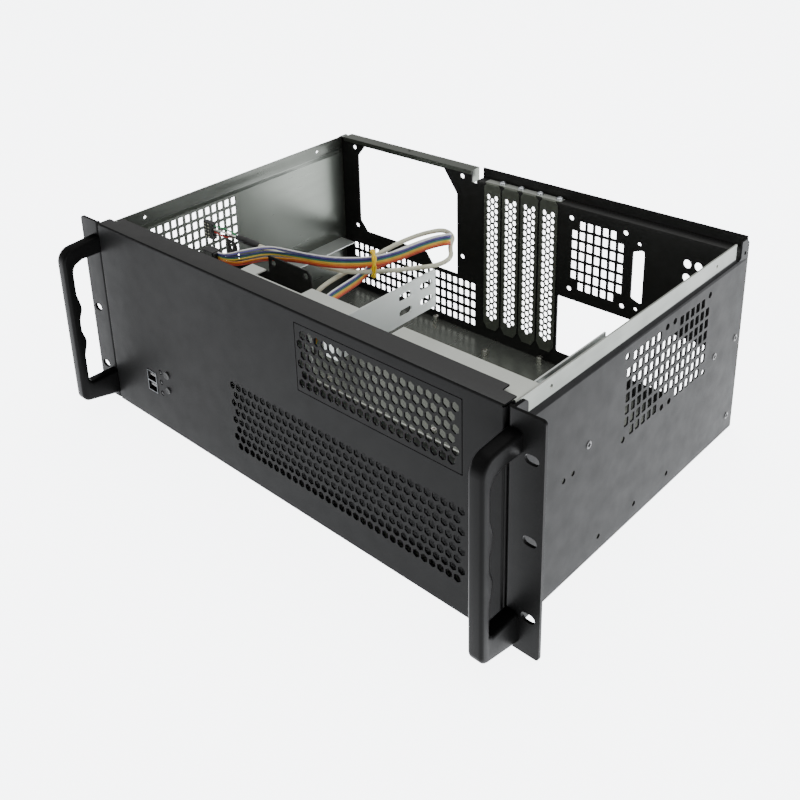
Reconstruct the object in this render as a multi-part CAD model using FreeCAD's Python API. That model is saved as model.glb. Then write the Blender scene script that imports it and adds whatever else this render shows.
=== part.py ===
import FreeCAD, Part
import math
import os

# An empty rackmount server case: a folded tray with a front bezel, ears, handles and a cut rear panel.
# X runs to the right, Y to the back, Z up. Sizes are in millimetres, measured from the ears' front
# face and the underside; every piece is moved back to the middle of the case's depth when saved.

# Whole case
rack_width = 482.6
rack_height = 177.0
body_width = 430.0
case_depth = 316.0
sheet = 1.2
seat = 0.1
overcut = 1.0
bore_sides = 6
round_sides = 8

# Tray walls: the upper band steps in so that the lid's skirt lies flush
lid_drop = 3.6
band_height = 13.6
joggle_rise = 4.4
joggle_step = 1.6
bend_radius = 2.0
relief_width = 6.0
relief_depth = 15.6
tab_depth = 12.5
tab_bevel = 4.0

# Ears and handles
ear_sheet = 2.5
ear_leg = 18.0
ear_corner = 2.0
slot_spacing_x = 465.1
slot_spacing_z = 117.5
slot_middle = 88.5
ear_screw_place = 11.2
slot_length = 10.3
slot_width = 6.8
handle_width = 11.4
handle_offset = 11.0
handle_reach = 38.0
handle_foot = 5.0
handle_height = 159.0
handle_draft = 3.0
handle_low_draft = 8.0
handle_leg = 16.0
handle_low_leg = 24.0
handle_bar = 9.0
handle_ridge = 3.6
handle_corner = 13.0
hollow_stops = (0.355, 0.626)

# Front bezel
bezel_proud = 1.0
bezel_top = 20.5
bezel_lip = 11.0
bezel_step = 7.5
bezel_step_width = 11.0

# Bezel vents: staggered rows of hexagons
lower_vent_left = -46.5
lower_vent_width = 232.0
lower_vent_bottom = 24.8
lower_vent_height = 63.6
lower_vent_columns = 11
lower_vent_rows = 3
insert_left = 33.5
insert_width = 149.5
insert_bottom = 112.0
insert_height = 56.3
insert_margin_x = 5.2
insert_margin_z = 4.6
insert_columns = 7
insert_rows = 3
insert_lip = 4.0
hex_web = 1.25
filter_depth = 3.0

# Front controls
controls_left = -165.0
controls_bottom = 28.0
controls_height = 29.0
port_left = -163.4
port_width = 13.8
port_bottom = 31.4
port_height = 20.8
tongue_sheet = 1.8
tongue_gap = 1.2
port_proud = 0.4
lamp_proud = 0.3
lamp_x = -142.9
lamp_radius = 1.9
lamp_heights = (56.0, 46.0, 35.3)
button_x = -133.5
power_height = 56.7
reset_height = 41.7
power_radius = 3.2
reset_radius = 2.6
button_clearance = 0.3
button_proud = 1.2
button_travel = 1.0
flange_thickness = 0.8
flange_margin = 1.0
board_margin = 5.0
board_sheet = 1.6
header_size = 13.0
header_width = 17.0
header_depth = 8.0

# Front frame: the inner wall behind the bezel and its flange
flange_depth = 26.5
bracket_notch_width = 40.0
bracket_notch_depth = 21.0
cage_notch_left = -36.0
cage_notch_width = 50.5
cage_notch_depth = 11.0
flange_left = -52.0
flange_stub = 8.0
frame_web = 6.0

# Side wall vents and holes, along Y and Z
window_web = 2.6
right_vent_front = 136.8
right_vent_length = 120.0
left_vent_back = 155.8
left_vent_length = 116.0
side_vent_bottom = 80.0
side_vent_height = 69.0
side_vent_columns = 5
side_vent_rows = 3
fan_hole = 2.2
right_fan_columns = (137.6, 191.4, 202.3, 255.2)
fan_row_low = 76.5
fan_row_high = 152.5
small_hole = 1.5
low_hole_height = 14.0
low_hole_places = (111.4, 159.6, 207.5)
front_hole_places = (63.7, 74.7)
front_hole_height = 87.7
band_screw_front = 48.0
band_screw_back = 50.0
band_screw_drop = 6.9

# Side screws: places from the front and from the back, each with its height
side_screw_radius = 2.9
side_screw_proud = 0.5
front_screw_places = ((92.7, 100.6),)
rear_screw_places = ((43.6, 87.1), (8.7, 88.6), (10.4, 16.6))

# Rear panel
rear_inset = 10.4
rail_end = -43.5
rail_start = -210.0
rail_height = 13.4
rail_lip = 4.0
rail_clearance = 0.1
ledge_drop = 9.1
crown_rise = 2.1
crown_start = -38.0
psu_left = -190.8
psu_right = -61.4
psu_top = 168.0
psu_bottom = 72.0
psu_foot_left = -92.0
psu_foot_bottom = 59.6
psu_chamfer_x = 9.2
psu_chamfer_z = 11.2
psu_corner_x = 15.6
psu_corner_z = 22.4
psu_slot_x = -55.0
psu_slots = (164.9, 80.5)
psu_vent_left = -199.5
psu_vent_width = 161.0
psu_vent_bottom = 7.0
psu_vent_height = 50.0
psu_vent_columns = 8
psu_vent_rows = 2
fan_vent_left = 64.5
fan_vent_bottom = 84.6
fan_vent_width = 52.15
fan_vent_height = 68.8
fan_vent_count = 5
dsub_left = 124.5
dsub_width = 10.3
dsub_bottom = 91.0
dsub_height = 51.5
dsub_chamfer = 4.0
port_hole = 3.2
port_hole_x = (172.0, 181.4)
port_hole_z = (129.0, 141.5)
window_left = 53.3
window_width = 153.7
window_bottom = 15.8
window_height = 58.5

# Expansion slots
slot_count = 4
slot_pitch = 20.32
first_slot = -19.4
slot_opening = 13.0
slot_opening_bottom = 20.0
slot_opening_top = 152.0
cover_sheet = 0.9
cover_width = 18.4
cover_foot_width = 10.2
cover_foot = 12.6
cover_shoulder = 20.0
cover_tab = 8.5
cover_tab_overlap = 1.6
cover_holes = 3
cover_hole_pitch = 40.0
cover_hole_radius = 5.2
screw_radius = 3.1
screw_head = 2.0
cover_screw_offset = 7.2

# Motherboard standoffs: rows and columns of the board's holes
standoff_height = 6.8
standoff_flats = 5.0
board_rear_gap = 6.4
board_columns = (0.0, 157.48, 281.94)
board_rows = (0.0, 154.94, 227.33)
board_corner_x = 198.0
extra_standoff = (203.2, 22.86)

# Drive brackets
bracket_x = 63.8
drive_width = 143.2
bracket_back = 119.0
bracket_height = 31.0
bracket_tab = 13.0
drive_slot_rows = (8.9, 21.6)
drive_slot_places = (84.2, 108.3)
drive_slot_length = 13.6
drive_slot_height = 5.6

# Drive cage: a black bent sheet behind the front flange
cage_left = -108.0
cage_right = -8.0
cage_back = 57.0
cage_bottom = 100.0
cage_shoulder = 157.0
cage_top = 171.6
cage_ear_width = 12.0
cage_plate_left = -56.5
cage_chamfer = 4.0
cage_leg_drop = 10.0
cage_hole = 2.6
cage_hole_drop = 5.0
cage_hole_inset = 5.8

# Free leads: a ribbon and a data cable, each from the header to a plug, tied together once
ribbon_radius = 2.0
ribbon_route = [
    (-146.0, 18.1, 42.0),
    (-146.0, 44.0, 42.0),
    (-122.0, 66.0, 50.0),
    (-82.0, 74.0, 60.0),
    (-42.0, 72.0, 80.0),
    (-14.0, 66.0, 102.0),
    (-2.0, 58.0, 124.0),
    (-2.0, 56.0, 141.0),
    (3.3, 61.6, 150.0),
    (3.4, 80.5, 152.0),
    (6.1, 96.2, 156.0),
    (8.4, 108.6, 163.0),
    (14.7, 130.1, 166.2),
    (21.2, 148.1, 169.2),
    (25.7, 164.3, 169.7),
    (26.4, 176.6, 167.2),
    (31.0, 178.0, 168.4),
    (34.3, 174.6, 170.2),
    (30.7, 163.0, 171.6),
    (25.4, 147.0, 170.8),
    (18.9, 129.0, 167.8),
    (11.7, 105.3, 168.2),
    (-5.2, 86.7, 169.5),
    (-19.4, 78.6, 170.0),
    (-35.7, 72.4, 170.5),
    (-49.2, 68.7, 170.0),
    (-63.0, 61.0, 170.5),
    (-71.0, 46.0, 170.0),
    (-79.5, 34.0, 169.0),
    (-91.5, 34.0, 169.0),
]
data_radius = 1.9
data_route = [
    (-154.0, 18.1, 42.0),
    (-154.0, 44.0, 42.0),
    (-132.0, 78.0, 54.0),
    (-92.0, 94.0, 68.0),
    (-52.0, 94.0, 88.0),
    (-30.0, 82.0, 112.0),
    (-18.0, 64.0, 132.0),
    (-11.7, 62.9, 151.0),
    (-11.1, 90.7, 155.5),
    (-6.0, 102.0, 158.5),
    (6.7, 110.3, 169.0),
    (11.5, 130.0, 173.5),
    (12.5, 148.0, 174.0),
    (16.0, 166.0, 174.0),
    (22.0, 182.0, 173.0),
    (27.0, 188.0, 166.0),
    (31.3, 177.0, 162.4),
    (45.7, 162.0, 161.9),
    (45.5, 146.0, 161.1),
    (37.3, 129.0, 162.4),
    (28.1, 113.1, 163.6),
    (14.0, 103.4, 161.5),
    (-0.5, 90.9, 161.3),
    (-20.6, 84.8, 161.7),
    (-44.0, 77.0, 166.0),
    (-62.0, 67.0, 170.0),
    (-78.0, 67.0, 170.0),
]
plug_length = 15.5
plug_depth = 9.0
plug_height = 8.0
sleeve_length = 28.0
sleeve_radius = 3.3
wire_radius = 0.65
wire_length = 31.0
data_plug_length = 12.0
data_plug_depth = 5.0
data_plug_height = 15.0
data_plug_drop = 10.5
tie_centre = (10.1, 106.9, 166.3)
tie_half_width = 8.8
tie_half_height = 10.0
tie_band = 0.9
tie_length = 2.2
tie_turn = -45

# Power supply shelf on the left wall
shelf_gap = 7.4
shelf_length = 82.0
shelf_height = 58.0
shelf_width = 20.0
shelf_leg = 12.0

deck_z = rack_height - lid_drop
band_z = deck_z - band_height
joggle_z = band_z - joggle_rise
half_body = body_width / 2
half_rack = rack_width / 2
inner_wall = half_body - sheet
bezel_half = half_body - joggle_step - sheet - seat
bezel_face = -bezel_proud
bezel_back = bezel_face + sheet
frame_y = bezel_face + bezel_lip + seat
frame_back = frame_y + sheet
rear_y = case_depth - rear_inset - sheet
rear_back = rear_y + sheet
ledge_z = deck_z - ledge_drop
crown_z = deck_z + crown_rise
handle_outer = half_body + handle_offset
middle_y = (case_depth - handle_reach) / 2


def block(x0, y0, z0, x1, y1, z1):
    return Part.makeBox(x1 - x0, y1 - y0, z1 - z0, FreeCAD.Vector(x0, y0, z0))


def polygon(points):
    return Part.Face(Part.makePolygon(points + [points[0]]))


def along_x(points, x0, x1):
    # points are (y, z) pairs
    return polygon([FreeCAD.Vector(x0, y, z) for y, z in points]).extrude(FreeCAD.Vector(x1 - x0, 0, 0))


def along_y(points, y0, y1):
    # points are (x, z) pairs
    return polygon([FreeCAD.Vector(x, y0, z) for x, z in points]).extrude(FreeCAD.Vector(0, y1 - y0, 0))


def along_z(points, z0, z1):
    # points are (x, y) pairs
    return polygon([FreeCAD.Vector(x, y, z0) for x, y in points]).extrude(FreeCAD.Vector(0, 0, z1 - z0))


def bore(radius, x, y, z, length, axis, sides=bore_sides):
    # a small hole or head as a plain prism whose flats touch the circle of that radius
    start = FreeCAD.Vector(x, y, z)
    along = FreeCAD.Vector(*axis)
    across = FreeCAD.Vector(axis[2], axis[0], axis[1]) * (radius / math.cos(math.pi / sides))
    points = []
    for index in range(sides):
        turn = FreeCAD.Rotation(along, 360 * (index + 0.5) / sides)
        points.append(start + turn.multVec(across))
    return polygon(points).extrude(along * length)


def joined(pieces):
    return pieces[0].multiFuse(pieces[1:]).removeSplitter()


def pierced(body, tools):
    return body.cut(tools)


def mirrored(shape):
    return shape.mirror(FreeCAD.Vector(0, 0, 0), FreeCAD.Vector(1, 0, 0))


def hexagon(x, z, width, height):
    # a hexagon standing on its point
    side = height / 4
    return [
        (x, z - height / 2),
        (x + width / 2, z - side),
        (x + width / 2, z + side),
        (x, z + height / 2),
        (x - width / 2, z + side),
        (x - width / 2, z - side),
    ]


def hexagon_vent(left, bottom, width, height, columns, rows, y0, y1):
    # rows are staggered by half a pitch, and every second row is one hole shorter
    pitch_x = width / columns
    pitch_z = height / (rows + 1 / 3)
    hole_width = pitch_x - hex_web
    hole_height = 4 / 3 * (pitch_z - hex_web)
    holes = []
    for row in range(rows):
        shift = row % 2
        z = bottom + pitch_z * (row + 2 / 3)
        for column in range(columns - shift):
            x = left + pitch_x * (column + 0.5 + shift / 2)
            holes.append(along_y(hexagon(x, z, hole_width, hole_height), y0, y1))
    return holes


def window_grid(left, bottom, width, height, columns, rows, web):
    # rectangles (x0, z0, x1, z1) that fill a field, with a web between them
    pitch_x = width / columns
    pitch_z = height / rows
    cells = []
    for column in range(columns):
        for row in range(rows):
            x = left + pitch_x * column + web / 2
            z = bottom + pitch_z * row + web / 2
            cells.append((x, z, x + pitch_x - web, z + pitch_z - web))
    return cells


def obround_x(y, z, length, height, x0, x1):
    # a slot through a sheet that faces X, with its length along Y
    radius = height / 2
    half = length / 2 - radius
    middle = block(x0, y - half, z - radius, x1, y + half, z + radius)
    front = bore(radius, x0, y - half, z, x1 - x0, (1, 0, 0), round_sides)
    back = bore(radius, x0, y + half, z, x1 - x0, (1, 0, 0), round_sides)
    return joined([middle, front, back])


def obround_y(x, z, length, height, y0, y1):
    # a slot through a sheet that faces Y, with its length along X
    radius = height / 2
    half = length / 2 - radius
    middle = block(x - half, y0, z - radius, x + half, y1, z + radius)
    along = FreeCAD.Vector(0, 1, 0)
    left = Part.makeCylinder(radius, y1 - y0, FreeCAD.Vector(x - half, y0, z), along)
    right = Part.makeCylinder(radius, y1 - y0, FreeCAD.Vector(x + half, y0, z), along)
    return joined([middle, left, right])


def edges_along(shape, direction, places, tolerance=0.01):
    # the straight edges that run along a direction through the given points of its cross plane
    axis = "xyz".index(direction)
    others = [index for index in range(3) if index != axis]
    found = []
    for edge in shape.Edges:
        if len(edge.Vertexes) != 2:
            continue
        ends = [tuple(vertex.Point) for vertex in edge.Vertexes]
        if abs(ends[0][axis] - ends[1][axis]) < tolerance:
            continue
        for place in places:
            gap = max(abs(end[others[index]] - place[index]) for end in ends for index in range(2))
            if gap < tolerance:
                found.append(edge)
    return found


def save(name, shape):
    moved = shape.copy()
    moved.translate(FreeCAD.Vector(0, -middle_y, 0))
    moved.exportStep("parts/" + name + ".step")
    print(name, len(moved.Solids), round(moved.Volume, 1), moved.isValid())


# Tray: floor and both walls bent from one sheet


def wall_profile():
    band = half_body - joggle_step
    outer = [(band, deck_z), (band, band_z), (half_body, joggle_z), (half_body, 0.0)]
    inner = [
        (inner_wall, sheet),
        (inner_wall, joggle_z - sheet / 4),
        (band - sheet, band_z - sheet / 4),
        (band - sheet, deck_z),
    ]
    left_outer = [(-x, z) for x, z in reversed(outer)]
    left_inner = [(-x, z) for x, z in reversed(inner)]
    return outer + left_outer + left_inner + inner


def rear_wall_profile():
    return [
        (half_body, deck_z),
        (half_body, 0.0),
        (-half_body, 0.0),
        (-half_body, deck_z),
        (-inner_wall, deck_z),
        (-inner_wall, sheet),
        (inner_wall, sheet),
        (inner_wall, deck_z),
    ]


def relief_cut():
    # the slot that frees the right wall's rear tab, round at its foot
    back = case_depth - tab_depth
    middle = back - relief_width / 2
    foot = deck_z - relief_depth + relief_width / 2
    slot = block(0.0, back - relief_width, foot, half_rack, back, rack_height)
    toe = bore(relief_width / 2, 0.0, middle, foot, half_rack, (1, 0, 0), round_sides)
    return [slot, toe]


def side_vent_cuts():
    cuts = []
    right = window_grid(
        right_vent_front,
        side_vent_bottom,
        right_vent_length,
        side_vent_height,
        side_vent_columns,
        side_vent_rows,
        window_web,
    )
    left = window_grid(
        left_vent_back - left_vent_length,
        side_vent_bottom,
        left_vent_length,
        side_vent_height,
        side_vent_columns,
        side_vent_rows,
        window_web,
    )
    for y0, z0, y1, z1 in right:
        cuts.append(block(inner_wall - overcut, y0, z0, half_body + overcut, y1, z1))
    for y0, z0, y1, z1 in left:
        cuts.append(block(-half_body - overcut, y0, z0, overcut - inner_wall, y1, z1))
    return cuts


def side_holes():
    cuts = []
    for y in right_fan_columns:
        for z in (fan_row_low, fan_row_high):
            cuts.append(bore(fan_hole, inner_wall - overcut, y, z, sheet + 2 * overcut, (1, 0, 0)))
    places = [(y, low_hole_height) for y in low_hole_places]
    places += [(y, front_hole_height) for y in front_hole_places]
    for y, z in places:
        cuts.append(bore(small_hole, inner_wall - overcut, y, z, sheet + 2 * overcut, (1, 0, 0)))
    for y in (band_screw_front, case_depth - band_screw_back):
        z = deck_z - band_screw_drop
        cuts.append(bore(small_hole, -half_rack, y, z, rack_width, (1, 0, 0)))
    z = deck_z - band_screw_drop - joggle_rise
    cuts.append(bore(small_hole, -half_rack, case_depth - tab_depth / 2, z, rack_width, (1, 0, 0)))
    return cuts


def chassis_tray():
    split = case_depth - tab_depth - relief_width
    walls = along_y(wall_profile(), 0.0, split)
    rear = along_y(rear_wall_profile(), split, case_depth)
    tray = joined([walls, rear])
    corners = [(half_body, 0.0), (-half_body, 0.0)]
    tray = tray.makeFillet(bend_radius, edges_along(tray, "y", corners))
    inner = [(inner_wall, sheet), (-inner_wall, sheet)]
    tray = tray.makeFillet(bend_radius - sheet, edges_along(tray, "y", inner))
    floor_front = frame_y
    room = block(-half_rack, -overcut, -overcut, half_rack, floor_front, sheet + bend_radius)
    corner = [
        (case_depth - tab_bevel, deck_z),
        (case_depth + overcut, deck_z - tab_bevel - overcut),
        (case_depth + overcut, deck_z + overcut),
    ]
    bevel = along_x(corner, -half_rack, half_rack)
    return pierced(tray, [room, bevel] + relief_cut() + side_vent_cuts() + side_holes())


# Front frame: the wall that carries the bezel, with a flange along its top


def frame_openings():
    # one opening behind each vent and behind the controls
    places = [
        (insert_left + frame_web, insert_bottom + frame_web, insert_width, insert_height),
        (lower_vent_left + frame_web, lower_vent_bottom + frame_web, lower_vent_width, lower_vent_height),
        (controls_left + frame_web, controls_bottom + frame_web, button_x - controls_left, controls_height),
    ]
    cuts = []
    for left, bottom, width, height in places:
        right = left + width - 2 * frame_web
        top = bottom + height - 2 * frame_web
        cuts.append(block(left, frame_y - overcut, bottom, right, frame_back + overcut, top))
    return cuts


def flange_notches():
    back = frame_y + flange_depth
    low = deck_z - sheet - overcut
    high = deck_z + overcut
    bracket_right = bracket_x + bracket_notch_width
    bracket = block(bracket_x - sheet, back - bracket_notch_depth, low, bracket_right, back + overcut, high)
    cage_right_end = cage_notch_left + cage_notch_width
    cage = block(cage_notch_left, back - cage_notch_depth, low, cage_right_end, back + overcut, high)
    left = block(-half_rack, frame_y + flange_stub, low, flange_left, back + overcut, high)
    return [bracket, cage, left]


def front_frame():
    half = half_body - joggle_step - sheet - seat
    back = frame_y + flange_depth
    profile = [
        (frame_y, sheet),
        (frame_y, deck_z),
        (back, deck_z),
        (back, deck_z - sheet),
        (frame_back, deck_z - sheet),
        (frame_back, 2 * sheet),
        (back - cage_notch_depth, 2 * sheet),
        (back - cage_notch_depth, sheet),
    ]
    frame = along_x(profile, -half, half)
    return pierced(frame, frame_openings() + flange_notches())


# Bezel: a shallow folded box with staggered vents


def bezel_outline():
    return [
        (bezel_face, 0.0),
        (bezel_face, rack_height),
        (bezel_face + bezel_top, rack_height),
        (bezel_face + bezel_top, rack_height - sheet),
        (bezel_back, rack_height - sheet),
        (bezel_back, sheet),
        (bezel_face + bezel_lip, sheet),
        (bezel_face + bezel_lip, 0.0),
    ]


def bezel_side():
    lip = bezel_face + bezel_lip
    return block(bezel_half - sheet, bezel_face, 0.0, bezel_half, lip, rack_height)


def control_cuts():
    y = bezel_face - 1
    depth = sheet + 2
    cuts = [block(port_left, y, port_bottom, port_left + port_width, y + depth, port_bottom + port_height)]
    for z in lamp_heights:
        cuts.append(bore(lamp_radius + button_clearance / 2, lamp_x, y, z, depth, (0, 1, 0)))
    for radius, z in ((power_radius, power_height), (reset_radius, reset_height)):
        cuts.append(bore(radius + button_clearance, button_x, y, z, depth, (0, 1, 0), round_sides))
    return cuts


def front_panel():
    skin = along_x(bezel_outline(), -bezel_half, bezel_half)
    panel = joined([skin, bezel_side(), mirrored(bezel_side())])
    edge = edges_along(panel, "x", [(bezel_face, rack_height)])
    panel = panel.makeFillet(bend_radius / 2, edge)
    y0 = bezel_face - 1
    y1 = bezel_back + 1
    gap = button_clearance
    opening = block(
        insert_left - gap,
        y0,
        insert_bottom - gap,
        insert_left + insert_width + gap,
        y1,
        insert_bottom + insert_height + gap,
    )
    top = bezel_face + bezel_top
    step_x = bezel_half - bezel_step_width
    under = rack_height - sheet - overcut
    step = block(step_x, top - bezel_step, under, half_rack, top + overcut, rack_height + overcut)
    holes = hexagon_vent(
        lower_vent_left,
        lower_vent_bottom,
        lower_vent_width,
        lower_vent_height,
        lower_vent_columns,
        lower_vent_rows,
        y0,
        y1,
    )
    return pierced(panel, [opening, step, mirrored(step)] + control_cuts() + holes)


def vent_insert():
    # a perforated plate that stands in the bezel's opening, held by a lip behind the bezel
    right = insert_left + insert_width
    top = insert_bottom + insert_height
    plate = block(insert_left, bezel_face, insert_bottom, right, bezel_back + 2 * sheet, top)
    lip = block(
        insert_left - insert_lip,
        bezel_back,
        insert_bottom - insert_lip,
        right + insert_lip,
        bezel_back + sheet,
        top + insert_lip,
    )
    hollow = block(
        insert_left + sheet,
        bezel_back,
        insert_bottom + sheet,
        right - sheet,
        bezel_back + 3 * sheet,
        top - sheet,
    )
    holes = hexagon_vent(
        insert_left + insert_margin_x,
        insert_bottom + insert_margin_z,
        insert_width - 2 * insert_margin_x,
        insert_height - 2 * insert_margin_z,
        insert_columns,
        insert_rows,
        bezel_face - overcut,
        bezel_back + overcut,
    )
    return pierced(joined([plate, lip]), [hollow] + holes)


def dust_filter():
    # a foam pad between the bezel and the frame, behind the lower vent
    return block(
        lower_vent_left,
        frame_y - filter_depth,
        lower_vent_bottom,
        lower_vent_left + lower_vent_width,
        frame_y,
        lower_vent_bottom + lower_vent_height,
    )


# Ears and handles, made for the right side and mirrored


def slot_heights():
    half = slot_spacing_z / 2
    return (slot_middle - half, slot_middle, slot_middle + half)


def ear():
    face = block(half_body, 0.0, 0.0, half_rack, ear_sheet, rack_height)
    leg_top = rack_height - 2 * sheet
    leg = block(half_body, 0.0, 0.0, half_body + ear_sheet, ear_leg, leg_top)
    leg = leg.makeFillet(2 * ear_corner, edges_along(leg, "x", [(ear_leg, leg_top)]))
    shape = joined([face, leg])
    corners = [(half_rack, 0.0), (half_rack, rack_height)]
    shape = shape.makeFillet(ear_corner, edges_along(shape, "y", corners))
    x = slot_spacing_x / 2
    slots = [obround_y(x, z, slot_length, slot_width, -overcut, ear_sheet + overcut) for z in slot_heights()]
    return pierced(shape, slots)


def screw_heads(places, radius, height, axis):
    return Part.makeCompound([bore(radius, x, y, z, height, axis) for x, y, z in places])


def ear_screws():
    # countersunk heads that hold each ear's leg to the tray
    places = []
    for z in slot_heights():
        places.append((half_body + ear_sheet, ear_screw_place, z))
    right = screw_heads(places, side_screw_radius, side_screw_proud, (1, 0, 0))
    return Part.makeCompound([right, mirrored(right)])


def handle_profile():
    # outline in Y and Z: two legs with a slight draft, and three finger hollows between ridges
    top = handle_foot + handle_height
    front = -handle_reach
    low = handle_foot + handle_low_leg
    high = top - handle_leg
    bay = front + handle_bar
    ridge = bay + handle_ridge
    first = low + hollow_stops[0] * (high - low)
    second = low + hollow_stops[1] * (high - low)
    outer = [
        FreeCAD.Vector(0, 0, handle_foot),
        FreeCAD.Vector(0, front, handle_foot + handle_low_draft),
        FreeCAD.Vector(0, front, top - handle_draft),
        FreeCAD.Vector(0, 0, top),
        FreeCAD.Vector(0, 0, high),
        FreeCAD.Vector(0, ridge, high),
    ]
    edges = [Part.LineSegment(outer[index], outer[index + 1]).toShape() for index in range(5)]
    stops = (high, second, first, low)
    for index in range(3):
        start = FreeCAD.Vector(0, ridge, stops[index])
        middle = FreeCAD.Vector(0, bay, (stops[index] + stops[index + 1]) / 2)
        end = FreeCAD.Vector(0, ridge, stops[index + 1])
        edges.append(Part.Arc(start, middle, end).toShape())
    corner = FreeCAD.Vector(0, 0, low)
    edges.append(Part.LineSegment(FreeCAD.Vector(0, ridge, low), corner).toShape())
    edges.append(Part.LineSegment(corner, outer[0]).toShape())
    return Part.Face(Part.Wire(edges))


def handle():
    face = handle_profile()
    face.translate(FreeCAD.Vector(handle_outer - handle_width, 0, 0))
    bar = face.extrude(FreeCAD.Vector(handle_width, 0, 0))
    front = -handle_reach
    low = handle_foot + handle_low_draft
    high = handle_foot + handle_height - handle_draft
    bar = bar.makeFillet(handle_corner, edges_along(bar, "x", [(front, high)]))
    return bar.makeFillet(handle_corner / 2, edges_along(bar, "x", [(front, low)]))


def handle_screws():
    # pan heads behind the ears, on the middle of each handle foot
    x = half_body + ear_sheet + screw_radius / math.cos(math.pi / bore_sides) + seat
    low = handle_foot + handle_low_leg / 2
    high = handle_foot + handle_height - handle_leg / 2
    right = screw_heads([(x, ear_sheet, low), (x, ear_sheet, high)], screw_radius, screw_head, (0, 1, 0))
    return Part.makeCompound([right, mirrored(right)])


# Front controls


def board_bounds():
    left = controls_left - board_margin
    right = button_x + power_radius + board_margin
    bottom = controls_bottom - board_margin
    top = power_height + power_radius + board_margin
    return left, right, bottom, top


def io_board():
    left, right, bottom, top = board_bounds()
    return block(left, frame_y - board_sheet, bottom, right, frame_y, top)


def usb_ports():
    # two stacked sockets in one metal shell, open to the front
    gap = button_clearance
    left = port_left + gap
    right = port_left + port_width - gap
    bottom = port_bottom + gap
    top = port_bottom + port_height - gap
    shell = block(left, bezel_face - port_proud, bottom, right, frame_y - board_sheet, top)
    middle = (bottom + top) / 2
    cuts = []
    for low, high in ((bottom, middle), (middle, top)):
        back = frame_y - board_sheet
        front = bezel_face - overcut
        mouth = block(left + sheet, front, low + sheet, right - sheet, back - sheet, high - sheet)
        tongue_top = high - sheet - tongue_gap
        tongue_low = tongue_top - tongue_sheet
        inset = 2 * sheet
        tongue = block(left + inset, bezel_back, tongue_low, right - inset, back, tongue_top)
        cuts.append(mouth.cut(tongue))
    return pierced(shell, cuts)


def led_lenses():
    lenses = []
    start = bezel_face - lamp_proud
    for z in lamp_heights:
        lenses.append(bore(lamp_radius, lamp_x, start, z, frame_y - board_sheet - start, (0, 1, 0)))
    return Part.makeCompound(lenses)


def switch_start():
    return bezel_back + flange_thickness + button_travel + 3 * button_clearance


def push_button(radius, z):
    # a cap with a flange that keeps it behind the bezel
    cap = bore(radius, button_x, bezel_face - button_proud, z, sheet + button_proud, (0, 1, 0), round_sides)
    flange = bore(radius + flange_margin, button_x, bezel_back, z, flange_thickness, (0, 1, 0), round_sides)
    return joined([cap, flange])


def switch_bodies():
    bodies = []
    size = power_radius
    back = frame_y - board_sheet
    for z in (power_height, reset_height):
        bodies.append(block(button_x - size, switch_start(), z - size, button_x + size, back, z + size))
    return Part.makeCompound(bodies)


def header_corner():
    # the lead header stands on the back of the board, inside the frame's opening
    return controls_left + frame_web + overcut, controls_bottom + frame_web + overcut


def lead_header():
    x, z = header_corner()
    return block(x, frame_y, z, x + header_width, frame_y + header_depth, z + header_size)


# Rear panel


def rear_plate():
    half = inner_wall - seat
    under_rail = deck_z - sheet - rail_clearance
    low = block(-half, rear_y, sheet, half, rear_back, ledge_z)
    left = block(-half, rear_y, sheet, rail_end, rear_back, under_rail)
    ledge = block(crown_start, rear_y, ledge_z - sheet, half, case_depth, ledge_z)
    crown = block(crown_start, case_depth - sheet, ledge_z - sheet, half, case_depth, crown_z)
    side_left = block(-half, rear_y, sheet, sheet - half, case_depth, ledge_z - sheet)
    side_right = block(half - sheet, rear_y, sheet, half, case_depth, ledge_z - sheet)
    plate = joined([low, left, ledge, crown, side_left, side_right])
    corners = []
    for side in (-1, 1):
        points = [
            (side * half, bend_radius),
            (side * (half - bend_radius), sheet - seat),
            (side * (half + overcut), -overcut),
        ]
        corners.append(along_y(points, rear_y - overcut, case_depth + overcut))
    return pierced(plate, corners)


def psu_opening():
    points = [
        (psu_left + psu_chamfer_x, psu_top),
        (psu_left, psu_top - psu_chamfer_z),
        (psu_left, psu_bottom + psu_chamfer_z),
        (psu_left + psu_chamfer_x, psu_bottom),
        (psu_foot_left - psu_chamfer_x, psu_bottom),
        (psu_foot_left, psu_foot_bottom),
        (psu_right, psu_foot_bottom),
        (psu_right, psu_top - psu_corner_z),
        (psu_right - psu_corner_x, psu_top),
    ]
    return along_y(points, rear_y - overcut, rear_back + overcut)


def psu_screw_slots():
    cuts = []
    places = [(psu_slot_x, z) for z in psu_slots]
    places.append((psu_left + small_hole, psu_top - small_hole))
    for x, z in places:
        cuts.append(bore(2 * small_hole, x, rear_y - overcut, z, sheet + 2 * overcut, (0, 1, 0)))
    return cuts


def fan_vent():
    # a field of windows without its corners, as a round fan needs
    cells = window_grid(
        fan_vent_left,
        fan_vent_bottom,
        fan_vent_width,
        fan_vent_height,
        fan_vent_count,
        fan_vent_count,
        window_web,
    )
    last = fan_vent_count - 1
    corners = (0, last, fan_vent_count * last, fan_vent_count * last + last)
    cuts = []
    for index, (x0, z0, x1, z1) in enumerate(cells):
        if index not in corners:
            cuts.append(block(x0, rear_y - overcut, z0, x1, rear_back + overcut, z1))
    for x in (fan_vent_left, fan_vent_left + fan_vent_width):
        for z in (fan_vent_bottom, fan_vent_bottom + fan_vent_height):
            cuts.append(bore(fan_hole, x, rear_y - overcut, z, sheet + 2 * overcut, (0, 1, 0)))
    return cuts


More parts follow.
